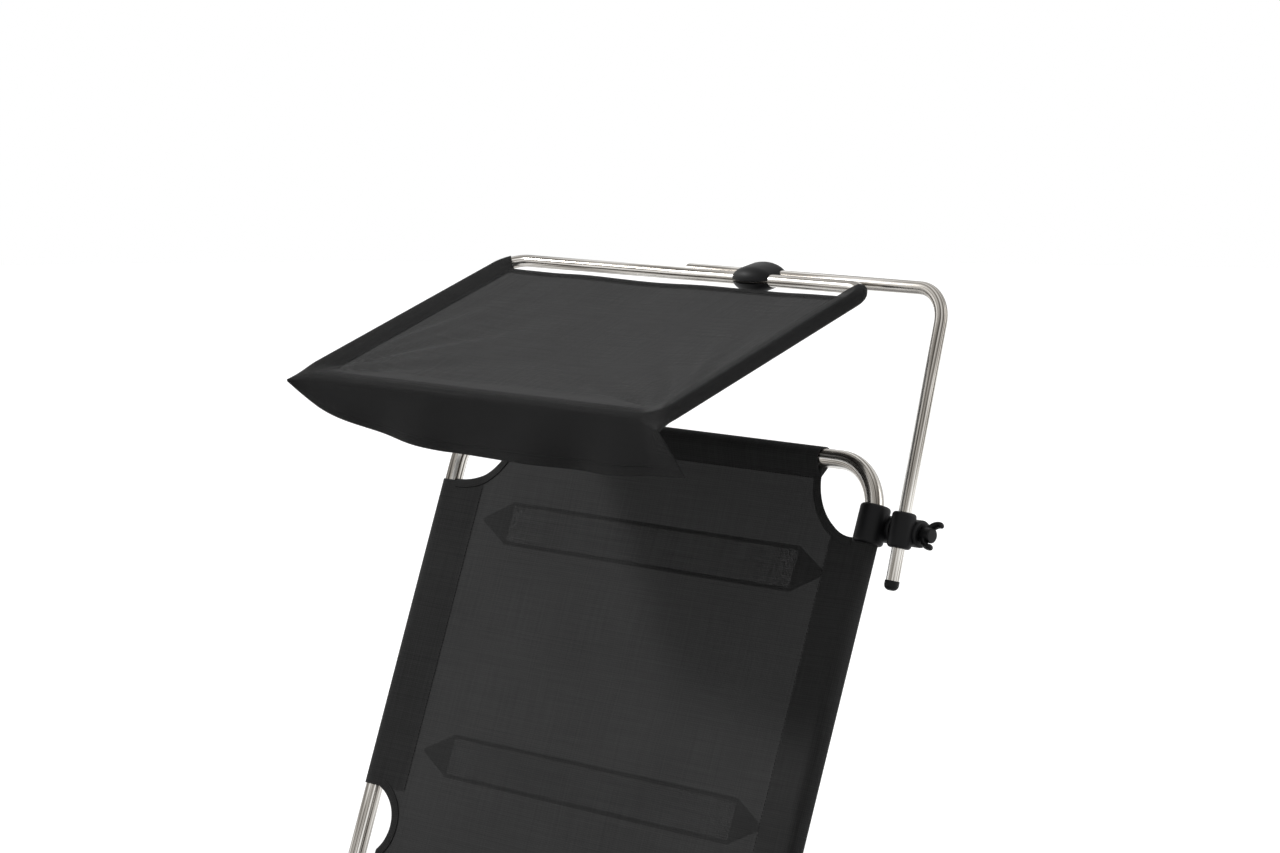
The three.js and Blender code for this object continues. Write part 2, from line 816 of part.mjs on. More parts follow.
// The front edge hangs from the sleeve in slow waves, and rolls back under towards its left corner.
function valance() {
  const lean = degrees(valanceLean);
  const half = canopySide + canopySleeve;
  const spot = (column, row, side) => {
    const u = column / valanceColumns;
    const v = row / valanceRows;
    const x = half * (2 * u - 1);
    const nearCorner = Math.max(0, 1 - (x + half) / cornerCurlWidth);
    const length = (valanceDrop - canopySleeve) * (1 - cornerRiseShare * nearCorner ** 2);
    const turn = v * nearCorner * degrees(cornerCurl);
    const chord = turn > 0 ? (v * length * Math.sin(turn / 2)) / (turn / 2) : v * length;
    const wave = valanceWave * v * (1 - nearCorner) * Math.sin(2 * Math.PI * valanceWaves * u);
    const outward = (side * valanceThickness) / 2;
    const start = canopySleeve - valanceThickness / 2;
    const forward = start + wave - chord * Math.sin(turn / 2) + outward * Math.cos(turn);
    const down = chord * Math.cos(turn / 2) + outward * Math.sin(turn) - clearance;
    const y = -canopyDepth - forward * Math.cos(lean) - down * Math.sin(lean);
    const z = forward * Math.sin(lean) - down * Math.cos(lean);
    return [x, y, z];
  };
  const places = [];
  const corners = [];
  const at = (column, row, side) => ((row * (valanceColumns + 1)) + column) * 2 + (side > 0 ? 1 : 0);
  for (let row = 0; row <= valanceRows; row += 1) {
    for (let column = 0; column <= valanceColumns; column += 1) {
      places.push(...spot(column, row, -1), ...spot(column, row, 1));
    }
  }
  const quad = (a, b, c, d) => corners.push(a, b, c, a, c, d);
  for (let row = 0; row < valanceRows; row += 1) {
    for (let column = 0; column < valanceColumns; column += 1) {
      quad(at(column, row, 1), at(column, row + 1, 1), at(column + 1, row + 1, 1), at(column + 1, row, 1));
      quad(at(column, row, -1), at(column + 1, row, -1), at(column + 1, row + 1, -1), at(column, row + 1, -1));
    }
    quad(at(0, row, -1), at(0, row + 1, -1), at(0, row + 1, 1), at(0, row, 1));
    const last = valanceColumns;
    quad(at(last, row, 1), at(last, row + 1, 1), at(last, row + 1, -1), at(last, row, -1));
  }
  for (let column = 0; column < valanceColumns; column += 1) {
    quad(at(column, 0, 1), at(column + 1, 0, 1), at(column + 1, 0, -1), at(column, 0, -1));
    const low = valanceRows;
    quad(at(column, low, -1), at(column + 1, low, -1), at(column + 1, low, 1), at(column, low, 1));
  }
  const geometry = new THREE.BufferGeometry();
  geometry.setAttribute('position', new THREE.BufferAttribute(new Float32Array(places), 3));
  geometry.setIndex(corners);
  return geometry;
}

function canopyClothBody() {
  const band = canopyBand();
  const bore = canopyRadius + boreClearance;
  const overJoint = barX(bore, -overrun, overrun, tubeSides).translate(0, -canopyDepth, 0);
  return combine(
    [canopySleeves(), canopyPanel(), band, mirrored(band), valance()],
    [canopyLoop(bore, 0, clearance), overJoint],
  );
}

// Frame tubes

const backTopEdge = backLength + sleeveRadius;

function backTube(outerRadius, innerRadius) {
  return bentTube(
    [
      [-halfWidth, hingeReach, 0],
      [-halfWidth, backLength, 0],
      [halfWidth, backLength, 0],
      [halfWidth, hingeReach, 0],
    ],
    frameBendRadius,
    outerRadius,
    innerRadius,
  );
}

function footTube() {
  return bentTube(
    [
      [-halfWidth, -hingeReach, 0],
      [-halfWidth, -footLength, 0],
      [halfWidth, -footLength, 0],
      [halfWidth, -hingeReach, 0],
    ],
    frameBendRadius,
    tubeRadius,
    tubeBore,
  );
}

function seatTube() {
  const reach = hingeReach - seatLength;
  const ends = [[halfWidth, reach, 0], [halfWidth, -hingeReach, 0]];
  return bentTube(ends, frameBendRadius, tubeRadius, tubeBore);
}

// Seat section, with its origin on the back hinge pin
const lounger = new THREE.Group();
const seat = section(lounger, [0, 0, seatHeight]);
pair(seat, 'seat_tube', '', seatTube(), aluminium);
part(seat, 'sling_seat', seatPanel(), mesh);
pair(seat, 'back_hinge', '_seat_half', hingeHalf(-1, 1, { toothed: true }), plastic);
pair(seat, 'back_hinge', '_pin', hingePin(), steel);
addLeg(seat, 'rear', -rearLegPlace, 1, rearLegSplay);
addLeg(seat, 'middle', middleLegPlace - seatLength, -1, middleLegSplay);

// Backrest
const back = section(seat, [0, 0, 0], backAngle);
part(back, 'back_tube', backTube(tubeRadius, tubeBore), aluminium);
const backSleeveEnd = backTopEdge - backCornerGap;
part(back, 'sling_back', endPanel(backLength, backSleeveEnd, backCutRadius, backCutDrop, 1), mesh);
part(back, 'sling_band_upper', crossBand(backTopEdge - upperBandPlace), mesh);
part(back, 'sling_band_lower', crossBand(backTopEdge - lowerBandPlace), mesh);
pair(back, 'back_hinge', '_back_half', hingeHalf(1, -1, { studded: true }), plastic);
pair(back, 'back_hinge', '_pawl', pawl(), steel);

// Foot section
const foot = section(seat, [0, -seatLength, 0]);
part(foot, 'foot_tube', footTube(), aluminium);
const footSleeveEnd = footLength + sleeveRadius - footCornerGap;
part(foot, 'sling_foot', endPanel(footLength, footSleeveEnd, footCutRadius, 0, -1), mesh);
pair(foot, 'foot_hinge', '_seat_half', hingeHalf(1, 1), plastic);
pair(foot, 'foot_hinge', '_foot_half', hingeHalf(-1, -1), plastic);
pair(foot, 'foot_hinge', '_pin', hingePin(), steel);
addLeg(foot, 'front', -frontLegPlace, -1, frontLegSplay);

// Clamp, rod and canopy on the right side tube of the backrest
const clamp = section(back, [0, backTopEdge - clampPlace, 0]);
part(clamp, 'frame_clamp', frameClamp(), plastic);
const bolt = section(clamp, [0, 0, -boltOffset]);
part(bolt, 'clamp_bolt', clampBolt(), steel);
part(bolt, 'wing_knob', wingKnob(), plastic);
const turned = section(bolt, [rodX, 0, 0], rodLean);
const rod = section(turned, [0, 0, boltOffset]);
part(rod, 'rod_clamp', rodClamp(), plastic);
part(rod, 'canopy_rod', canopyRod(), aluminium);
part(rod, 'rod_end_cap', rodEndCap(), plastic);
part(rod, 'canopy_clip', canopyClip(), plastic);
const canopy = section(rod, [-rodX - canopyShift, rodHeight - barBelow, barAhead], -canopyTilt);
part(canopy, 'canopy_frame', canopyLoop(canopyRadius, canopyBore, clearance / 2), aluminium);
const plugRadius = canopyBore * plugShare - clearance;
const plug = barX(plugRadius, -plugHalfLength, plugHalfLength, boreSides);
part(canopy, 'canopy_joint_plug', plug.translate(0, -canopyDepth, 0), steel);
part(canopy, 'canopy_cloth', canopyClothBody(), canvas);

// The model's origin is on the ground under the middle of its outer box.
lounger.updateMatrixWorld(true);
const box = new THREE.Box3().setFromObject(lounger, true);
const middle = box.getCenter(new THREE.Vector3());
const group = new THREE.Group();
lounger.position.set(-middle.x, -middle.y, -box.min.z);
group.add(lounger);

export default group;
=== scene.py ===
import json
from math import acos, asin, atan2, cos, exp, hypot, pi, radians, sin, tan

import bpy
import numpy as np
from mathutils import Matrix, Vector

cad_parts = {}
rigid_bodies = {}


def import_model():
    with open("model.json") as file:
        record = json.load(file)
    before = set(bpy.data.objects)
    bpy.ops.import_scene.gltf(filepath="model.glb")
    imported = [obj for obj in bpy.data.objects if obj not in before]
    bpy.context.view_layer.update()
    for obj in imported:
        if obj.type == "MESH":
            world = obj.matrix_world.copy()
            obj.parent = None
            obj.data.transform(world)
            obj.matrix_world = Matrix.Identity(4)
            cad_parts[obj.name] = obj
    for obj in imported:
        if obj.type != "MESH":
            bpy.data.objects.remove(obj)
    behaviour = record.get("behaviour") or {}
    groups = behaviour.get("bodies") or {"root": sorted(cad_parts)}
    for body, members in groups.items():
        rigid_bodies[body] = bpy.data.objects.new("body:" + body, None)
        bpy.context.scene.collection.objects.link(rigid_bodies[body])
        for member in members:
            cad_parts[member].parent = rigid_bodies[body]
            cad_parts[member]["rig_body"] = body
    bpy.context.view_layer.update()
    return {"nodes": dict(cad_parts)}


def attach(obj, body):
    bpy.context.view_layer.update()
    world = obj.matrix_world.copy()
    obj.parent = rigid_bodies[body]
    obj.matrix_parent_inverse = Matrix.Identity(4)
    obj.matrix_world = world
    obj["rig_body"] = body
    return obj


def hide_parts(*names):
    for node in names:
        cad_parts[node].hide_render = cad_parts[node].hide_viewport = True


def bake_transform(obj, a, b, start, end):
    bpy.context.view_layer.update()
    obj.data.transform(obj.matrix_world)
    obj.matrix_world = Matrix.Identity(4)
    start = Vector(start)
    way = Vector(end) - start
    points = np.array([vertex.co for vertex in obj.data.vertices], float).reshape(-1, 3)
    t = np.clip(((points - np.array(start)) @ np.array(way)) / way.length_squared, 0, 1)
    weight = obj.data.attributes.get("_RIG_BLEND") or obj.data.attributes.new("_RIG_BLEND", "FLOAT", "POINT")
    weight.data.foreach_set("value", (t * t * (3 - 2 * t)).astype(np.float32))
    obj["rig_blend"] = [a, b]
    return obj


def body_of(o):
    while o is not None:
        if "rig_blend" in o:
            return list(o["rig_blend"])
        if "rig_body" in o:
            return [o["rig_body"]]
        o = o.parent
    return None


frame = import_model()
bpy.ops.object.select_all(action="DESELECT")
bpy.context.scene.view_settings.view_transform = "Standard"

# Camera
# It stands ahead of the lounger and to its right, a little above the canopy,
# and looks slightly down at the upper end of the backrest.
camera_lens = bpy.data.cameras.new("camera")
camera_lens.lens = 100.15
camera_lens.sensor_width = 36
camera = bpy.data.objects.new("camera", camera_lens)
camera.location = (2.7456, -2.0587, 1.3566)
camera.rotation_euler = (radians(82.9), 0, radians(45.6))
bpy.context.scene.collection.objects.link(camera)
bpy.context.scene.camera = camera

# Seat tubes
# Two straight round tubes of drawn aluminium, polished and anodised clear. The dies
# leave fine lines along them. They end in the hinges, with open ends over plugs.
tube_radius = 0.010
tube_wall = 0.0012
half_width = 0.325
hinge_reach = 0.062
seat_length = 0.640
seat_place = Matrix.Translation((-0.03035, 0.4956966, 0.290))
tube_sides = 40
bend_steps = 14
tube_merge = 0.00001
least_turn = 0.001


def linear(code):
    """A hex colour of the sRGB scale, as the linear values that a shader takes."""
    parts = [int(code[at:at + 2], 16) / 255 for at in (1, 3, 5)]
    return [part / 12.92 if part <= 0.04045 else ((part + 0.055) / 1.055) ** 2.4 for part in parts] + [1]


def add_node(tree, kind, settings={}, links={}):
    """Adds a node and gives its outputs. Capitalised names and numbers are sockets, stops are colours."""
    node = tree.nodes.new(kind)
    for name, value in settings.items():
        if name == "stops":
            colours = node.color_ramp.elements
            for place, code in value[1:-1]:
                colours.new(place)
            for colour, (place, code) in zip(colours, value):
                colour.position = place
                colour.color = linear(code)
        elif isinstance(name, int) or name[0].isupper():
            node.inputs[name].default_value = value
        else:
            setattr(node, name, value)
    for name, source in links.items():
        tree.links.new(source, node.inputs[name])
    return node.outputs


def new_finish(name, settings):
    """A material of that name, with the constants set on its shader's own sockets."""
    material = bpy.data.materials.new(name)
    material.use_nodes = True
    shader = material.node_tree.nodes["Principled BSDF"]
    for socket, value in settings.items():
        shader.inputs[socket].default_value = value
    return material, material.node_tree, shader


def feed(shader, sources):
    """Links patterns to the shader's sockets."""
    for socket, source in sources.items():
        shader.id_data.links.new(source, shader.inputs[socket])


# Drawn aluminium: bright warm metal whose draw lines, a few tenths of a millimetre
# apart on the real tube, are drawn 1 to 3 mm apart here and run along the tube.
# The darkest of these lines are painted reflections of dark surroundings, far darker
# than the bare metal's own colour.
aluminium, tree, shader = new_finish("drawn_aluminium", {"Metallic": 1})
along = add_node(tree, "ShaderNodeAttribute", {"attribute_name": "drawn"})["Vector"]
lines = add_node(tree, "ShaderNodeMapping", {"Scale": (420, 420, 3)}, {"Vector": along})[0]
fine = {"Scale": 1, "Detail": 3, "Roughness": 0.6}
streaks = add_node(tree, "ShaderNodeTexNoise", fine, {"Vector": lines})[0]
lines = add_node(tree, "ShaderNodeMapping", {"Scale": (130, 130, 6)}, {"Vector": along})[0]
bands = add_node(tree, "ShaderNodeTexNoise", {"Scale": 1, "Detail": 2}, {"Vector": lines})[0]
bands = add_node(tree, "ShaderNodeMath", {"operation": "MULTIPLY", 1: 0.35}, {0: bands})[0]
both = add_node(tree, "ShaderNodeMath", {"operation": "MULTIPLY_ADD", 1: 0.65}, {0: streaks, 2: bands})
# The darkest stop is a painted reflection of dark surroundings; the paler stops are the metal's own draw
# lines.
metal_and_painted_reflections = {"stops": [(0.38, "#37332f"), (0.46, "#86817a"), (0.52, "#c4c0ba"), (0.61, "#f6f4f0")]}
gloss = add_node(tree, "ShaderNodeMapRange", {"To Min": 0.16, "To Max": 0.38}, {"Value": streaks})
relief = add_node(tree, "ShaderNodeBump", {"Strength": 0.12, "Distance": 0.0002}, {"Height": streaks})
feed(shader, {
    "Base Color": add_node(tree, "ShaderNodeValToRGB", metal_and_painted_reflections, {"Fac": both[0]})["Color"],
    "Roughness": gloss["Result"],
    "Normal": relief["Normal"],
})


def select_only(piece):
    """Selects that piece alone and makes it the active one."""
    bpy.ops.object.select_all(action="DESELECT")
    piece.select_set(True)
    bpy.context.view_layer.objects.active = piece


def place_and_finish(piece, body, material, replaced=(), place=Matrix.Identity(4), smooth_angle=35):
    """Brings a piece from its own frame to its place, and gives it its body and material."""
    piece.matrix_world = place
    select_only(piece)
    bpy.ops.object.transform_apply(location=True, rotation=True, scale=True)
    bpy.ops.object.shade_smooth_by_angle(angle=radians(smooth_angle))
    piece.data.materials.clear()
    piece.data.materials.append(material)
    if body:
        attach(piece, body)
    if replaced:
        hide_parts(*replaced)
    piece.select_set(False)


def use_modifier(piece, kind, settings):
    """Adds a modifier and applies it."""
    select_only(piece)
    modifier = piece.modifiers.new(kind.lower(), kind)
    for name, value in settings.items():
        setattr(modifier, name, value)
    bpy.ops.object.modifier_apply(modifier=modifier.name)


def mend_skin(merge_within=0, closed=False):
    """Merges the active piece's points that lie together, and turns all its faces outwards."""
    bpy.ops.object.mode_set(mode="EDIT")
    bpy.ops.mesh.select_all(action="SELECT")
    if merge_within:
        bpy.ops.mesh.remove_doubles(threshold=merge_within)
    if closed:
        bpy.ops.mesh.fill_holes(sides=0)
    bpy.ops.mesh.normals_make_consistent(inside=False)
    bpy.ops.object.mode_set(mode="OBJECT")


def mark_draw_direction(tube, line):
    """Stores each point's place round the tube and along it, for the draw lines."""
    line = np.array([list(point) for point in line])
    steps = line[1:] - line[:-1]
    lengths = np.linalg.norm(steps, axis=1)
    ways = steps / lengths[:, None]
    reached = np.concatenate([[0], np.cumsum(lengths)])
    turnings = [np.cross(ways[0], way) for way in (ways[-1], *ways, (0.3, 0.5, 0.8))]
    turning = next(turning for turning in turnings if np.linalg.norm(turning) > least_turn)
    turning = turning / np.linalg.norm(turning)
    values = []
    for vertex in tube.data.vertices:
        point = np.array(vertex.co)
        share = np.clip(((point - line[:-1]) * ways).sum(1), 0, lengths)
        feet = line[:-1] + ways * share[:, None]
        nearest = np.argmin(np.linalg.norm(point - feet, axis=1))
        outward = point - feet[nearest]
        across = np.cross(ways[nearest], turning)
        values += [outward @ turning, outward @ across, reached[nearest] + share[nearest]]
    mark = tube.data.attributes.new("drawn", "FLOAT_VECTOR", "POINT")
    mark.data.foreach_set("vector", values)


def swept_skin(name, corners, bend, radius, closed=False):
    """A round skin along straight runs and round bends, and the line that it follows."""
    corners = [Vector(corner) for corner in corners]
    ahead = (corners[1] - corners[0]).normalized()
    bpy.ops.mesh.primitive_circle_add(
        vertices=tube_sides,
        radius=radius,
        location=corners[0],
        rotation=ahead.to_track_quat("Z", "Y").to_euler(),
    )
    skin = bpy.context.object
    skin.name = name
    bpy.ops.object.transform_apply()
    bpy.ops.object.mode_set(mode="EDIT")
    bpy.ops.mesh.select_all(action="SELECT")
    here = corners[0]
    line = [here]
    for corner, following in zip(corners[1:], corners[2:]):
        onward = (following - corner).normalized()
        turn = ahead.angle(onward)
        start = corner - ahead * bend * tan(turn / 2)
        inward = (onward - ahead * ahead.dot(onward)).normalized()
        centre = start + inward * bend
        bpy.ops.mesh.extrude_region_move(TRANSFORM_OT_translate={"value": start - here})
        # The operator turns by the left hand.
        bpy.ops.mesh.spin(steps=bend_steps, angle=-turn, center=centre, axis=ahead.cross(onward))
        for step in range(bend_steps + 1):
            angle = turn * step / bend_steps
            line.append(centre - inward * bend * cos(angle) + ahead * bend * sin(angle))
        here = line[-1]
        ahead = onward
    bpy.ops.mesh.extrude_region_move(TRANSFORM_OT_translate={"value": corners[-1] - here})
    line.append(corners[-1])
    mend_skin(tube_merge, closed)
    return skin, line


def fit_tube(name, corners, bend, radius, body, node, place):
    """A tube of straight runs and round bends, open at both ends, finished at its place."""
    tube, line = swept_skin(name, corners, bend, radius)
    use_modifier(tube, "SOLIDIFY", {"thickness": tube_wall, "offset": -1, "use_even_offset": True})
    mark_draw_direction(tube, line)
    place_and_finish(tube, body, aluminium, [node], place)


for side, sign in (("left", -1), ("right", 1)):
    ends = [(sign * half_width, hinge_reach - seat_length, 0), (sign * half_width, -hinge_reach, 0)]
    fit_tube(f"seat_tube_{side}_drawn", ends, 0, tube_radius, "seat", f"seat_tube_{side}", seat_place)

# Backrest and foot tubes
# Each is one length of the same tube, bent to a U over two round corners, so that it
# has no joint at the head or at the foot. Its two open ends go over the hinge plugs.
back_length = 0.603
foot_length = 0.600
frame_bend = 0.061
back_angle = radians(70.1)
back_place = seat_place @ Matrix.Rotation(back_angle, 4, "X")
foot_place = seat_place @ Matrix.Translation((0, -seat_length, 0))
for name, place, body, start, rail in (
    ("back_tube", back_place, "backrest", hinge_reach, back_length),
    ("foot_tube", foot_place, "foot_section", -hinge_reach, -foot_length),
):
    corners = [(-half_width, start, 0), (-half_width, rail, 0), (half_width, rail, 0), (half_width, start, 0)]
    fit_tube(f"{name}_bent", corners, frame_bend, tube_radius, body, name, place)

# Hinges
# Two moulded discs of black glass-filled nylon turn on a riveted steel pin, each with
# an arm whose round plug is pushed into its tube. A steel pawl holds the back hinge.
moulded_edge = 0.0006
steel_edge = 0.0005
pawl_edge = 0.0003
solid_merge = 0.00002
# Moulded nylon: near black, half gloss, with the fine grain of a spark-eroded mould,
# 0.2 mm on the real piece and drawn at 0.8 mm here, and greyer rubbed patches.
nylon, tree, shader = new_finish("moulded_nylon", {"IOR": 1.53, "Specular IOR Level": 0.16})
spot = add_node(tree, "ShaderNodeTexCoord")["Object"]
grain = add_node(tree, "ShaderNodeTexNoise", {"Scale": 1250, "Detail": 2}, {"Vector": spot})[0]
rubbed = {"Scale": 45, "Detail": 4, "Roughness": 0.65}
patches = add_node(tree, "ShaderNodeTexNoise", rubbed, {"Vector": spot})[0]
blacks = {"stops": [(0.3, "#050506"), (0.6, "#0a0a0c"), (0.8, "#131315")]}
gloss = add_node(tree, "ShaderNodeMapRange", {"To Min": 0.35, "To Max": 0.6}, {"Value": patches})
relief = add_node(tree, "ShaderNodeBump", {"Strength": 0.25, "Distance": 0.0001}, {"Height": grain})
feed(shader, {
    "Base Color": add_node(tree, "ShaderNodeValToRGB", blacks, {"Fac": patches})["Color"],
    "Roughness": gloss["Result"],
    "Normal": relief["Normal"],
})

# Zinc-plated steel: a cool grey metal with the cloudy look of the plating's crystals.
plated_steel, tree, shader = new_finish("zinc_plated_steel", {"Metallic": 1})
spot = add_node(tree, "ShaderNodeTexCoord")["Object"]
clouds = add_node(tree, "ShaderNodeTexVoronoi", {"Scale": 260}, {"Vector": spot})["Distance"]
film = add_node(tree, "ShaderNodeTexNoise", {"Scale": 60, "Detail": 3}, {"Vector": spot})[0]
both = add_node(tree, "ShaderNodeMath", {"operation": "MULTIPLY_ADD", 1: 0.35}, {0: clouds, 2: film})
greys = {"stops": [(0.35, "#8b8e92"), (0.6, "#b3b5b7"), (0.9, "#cfcdc4")]}
gloss = add_node(tree, "ShaderNodeMapRange", {"To Min": 0.24, "To Max": 0.5}, {"Value": film})
feed(shader, {
    "Base Color": add_node(tree, "ShaderNodeValToRGB", greys, {"Fac": both[0]})["Color"],
    "Roughness": gloss["Result"],
})


def round_edges(piece, width, segments=2, least_angle=50):
    """Rounds the edges at which a piece turns by more than the least angle."""
    use_modifier(piece, "BEVEL", {
        "width": width,
        "segments": segments,
        "limit_method": "ANGLE",
        "angle_limit": radians(least_angle),
    })


def softened(node, rounding, material, segments=2):
    """A copy of a plain solid, with its edges rounded as a mould or a press leaves them."""
    piece = bpy.data.objects.new(f"{node}_finished", frame["nodes"][node].data.copy())
    bpy.context.scene.collection.objects.link(piece)
    select_only(piece)
    bpy.ops.object.mode_set(mode="EDIT")
    bpy.ops.mesh.select_all(action="SELECT")
    bpy.ops.mesh.remove_doubles(threshold=solid_merge)
    bpy.ops.mesh.dissolve_limited(angle_limit=radians(1))
    bpy.ops.object.mode_set(mode="OBJECT")
    round_edges(piece, rounding, segments, 40)
    place_and_finish(piece, body_of(frame["nodes"][node])[0], material, [node])


for side in ("left", "right"):
    for hinge in ("back", "foot"):
        for half in ("seat", hinge):
            softened(f"{hinge}_hinge_{side}_{half}_half", moulded_edge, nylon)
        softened(f"{hinge}_hinge_{side}_pin", steel_edge, plated_steel)
    softened(f"back_hinge_{side}_pawl", pawl_edge, plated_steel)

# Legs
# Each leg is a U of the thinner tube on a steel axle, which two stamped brackets carry
# under the side tubes. Two moulded pads are pushed over its foot and stay level.
leg_radius = 0.009
leg_bend = 0.050
leg_top = 0.010
pivot_drop = 0.028
pad_play = 0.0003
pad_sole = 0.0047
pad_edge = 0.0015
leg_drop = seat_place.translation.z - pivot_drop - leg_radius - pad_play - pad_sole
for name, carrier, place, splay in (
    ("rear", seat_place, -0.090, 30),
    ("middle", seat_place, 0.090 - seat_length, -8),
    ("front", foot_place, -0.480, -8),
):
    low = -leg_drop / cos(radians(splay))
    spots = ((-half_width, leg_top), (-half_width, low), (half_width, low), (half_width, leg_top))
    corners = [(side, 0, lift) for side, lift in spots]
    pivot = carrier @ Matrix.Translation((0, place, -pivot_drop))
    leg_place = pivot @ Matrix.Rotation(radians(splay), 4, "X")
    fit_tube(f"{name}_leg_bent", corners, leg_bend, leg_radius, f"{name}_leg", f"{name}_leg_tube", leg_place)
    softened(f"{name}_leg_axle", moulded_edge, plated_steel)
    for side in ("left", "right"):
        softened(f"{name}_leg_bracket_{side}", steel_edge, plated_steel)
        softened(f"{name}_leg_pad_{side}", pad_edge, nylon, 3)

# Sling
# Two lengths of open-woven black polyester that meet edge to edge in the middle of the
# seat. Each is folded back over the side tubes and an end rail as sewn sleeves, with
# bound cut-outs where the tubes lie bare, and is pulled tight as the frame opens.
seam_side = 0.273
sleeve_radius = 0.0112
rail_seam_drop = 0.023
cloth_gauge = 0.0008
cloth_merge = 0.00002
hair = 0.0001
sling_sag = 0.0035
rail_slack = 0.08
hinge_slack = 0.02
slack_reach = 0.10
first_rows = (0.0246, 0.038, 0.053, 0.068)
edge_margin = 0.010
sling_ripple = 0.0009
fine_ripple = 0.0006
binding_width = 0.0085
binding_lift = 0.0009
hinge_cut_place = 0.113
hinge_cut_radius = 0.046
sleeve_start = 0.155
panel_edge = 0.290
sleeve_edge = 0.310
rail_half = 0.238
hinge_fold_radius = 0.035
seat_seam_place = 0.320
blend_reach = 0.060
row_gap = 0.011
arc_gap = 0.004
seam_gap = 0.012
seam_lift = 0.0006
seam_inset = 0.004
stitch_pitch = 0.0040


# Woven mesh of coated polyester yarn: charcoal, matt, with a faint grid and a little
# light passing. The sling's yarns lie 0.9 mm apart and are drawn 2.2 mm apart here.
# Thicker yarns run as faint streaks both ways.
def woven_finish(name, dark, pale, opacity, pitch):
    """A coated yarn weave on the piece's own UV map, which is in metres."""
    material, tree, shader = new_finish(name, {
        "Roughness": 0.8,
        "IOR": 1.5,
        "Specular IOR Level": 0.12,
        "Alpha": opacity,
    })
    # The wave pattern repeats every 0.314 m at scale 1.
    wave = {"Scale": 0.314 / pitch, "Distortion": 0.6, "Detail": 1}
    flat = add_node(tree, "ShaderNodeUVMap")["UV"]
    warp, weft = [
        add_node(tree, "ShaderNodeTexWave", {"bands_direction": way, **wave}, {"Vector": flat})["Fac"]
        for way in ("X", "Y")
    ]
    weave = add_node(tree, "ShaderNodeMath", {"operation": "MULTIPLY"}, {0: warp, 1: weft})[0]
    tone = add_node(tree, "ShaderNodeTexNoise", {"Scale": 7, "Detail": 3}, {"Vector": flat})[0]
    tone = add_node(tree, "ShaderNodeMapRange", {"To Min": 0, "To Max": 0.4}, {"Value": tone})[0]
    for scale in ((420, 9, 1), (9, 420, 1)):
        way = add_node(tree, "ShaderNodeMapping", {"Scale": scale}, {"Vector": flat})[0]
        slubs = add_node(tree, "ShaderNodeTexNoise", {"Scale": 1, "Detail": 2}, {"Vector": way})[0]
        add = {"operation": "MULTIPLY_ADD", 1: 0.3}
        tone = add_node(tree, "ShaderNodeMath", add, {0: slubs, 2: tone})[0]
    add = {"operation": "MULTIPLY_ADD", 1: 0.2}
    tone = add_node(tree, "ShaderNodeMath", add, {0: weave, 2: tone})[0]
    greys = {"stops": [(0.3, dark), (0.8, pale)]}
    relief = add_node(tree, "ShaderNodeBump", {"Strength": 0.3, "Distance": 0.0004}, {"Height": weave})
    feed(shader, {
        "Base Color": add_node(tree, "ShaderNodeValToRGB", greys, {"Fac": tone})["Color"],
        "Normal": relief["Normal"],
    })
    return material


sling_weave = woven_finish("woven_sling_polyester", "#333333", "#4c4c4c", 0.90, 0.0022)

# Sewing thread: bonded polyester, black, with a slight shine on each stitch.
thread, tree, shader = new_finish("bonded_thread", {"Roughness": 0.6, "Specular IOR Level": 0.15})
spot = add_node(tree, "ShaderNodeTexCoord")["Object"]
twist = add_node(tree, "ShaderNodeTexNoise", {"Scale": 900, "Detail": 2}, {"Vector": spot})[0]
blacks = {"stops": [(0.3, "#0a0a0a"), (0.7, "#1d1d1d")]}
feed(shader, {"Base Color": add_node(tree, "ShaderNodeValToRGB", blacks, {"Fac": twist})["Color"]})


def piece_from(name, points, faces):
    """A piece made of points and faces, selected alone."""
    mesh = bpy.data.meshes.new(name)
    mesh.from_pydata(points, [], faces)
    piece = bpy.data.objects.new(name, mesh)
    bpy.context.scene.collection.objects.link(piece)
    select_only(piece)
    return piece


def cloth_from(name, patches, gauge):
    """A cloth sewn from patches: each is a grid of points and their places on the flat cloth."""
    points, flats, faces = [], [], []
    for grid in patches:
        columns = len(grid[0])
        first = len(points)
        for row in grid:
            for point, flat in row:
                points.append(point)
                flats.append(flat)
        for row in range(len(grid) - 1):
            for column in range(columns - 1):
                at = first + row * columns + column
                faces.append((at, at + 1, at + columns + 1, at + columns))
    cloth = piece_from(name, points, faces)
    corners = np.zeros(len(cloth.data.loops), dtype=np.int64)
    cloth.data.loops.foreach_get("vertex_index", corners)
    flats = np.array(flats, dtype=float)[corners]
    cloth.data.uv_layers.new(name="UVMap").data.foreach_set("uv", flats.ravel())
    mend_skin(cloth_merge)
    use_modifier(cloth, "SOLIDIFY", {"thickness": gauge, "offset": 0})
    return cloth


def sleeve_section(seam, middle, start, steps):
    """From start over the tube and back to the seam: (side, lift, place on the flat cloth)."""
    rise = asin(sleeve_radius / (middle - seam))
    straight = (middle - seam) * cos(rise)
    top = middle - sleeve_radius * sin(rise)
    spots = []
    for step in range(4):
        side = start + (top - start) * step / 4
        spots.append((side, (side - seam) * tan(rise), seam + (side - seam) / cos(rise)))
    opening = pi + 2 * rise
    for step in range(steps + 1):
        turn = opening * step / steps
        angle = pi / 2 + rise - turn
        lift = sleeve_radius * sin(angle)
        spots.append((middle + sleeve_radius * cos(angle), lift, seam + straight + sleeve_radius * turn))
    back = seam + straight + sleeve_radius * opening
    for step in range(1, 5):
        side = top + (seam - top) * step / 4
        spots.append((side, -(side - seam) * tan(rise) - cloth_gauge, back + straight * step / 4))
    return spots


side_rise = tan(asin(sleeve_radius / (half_width - seam_side)))


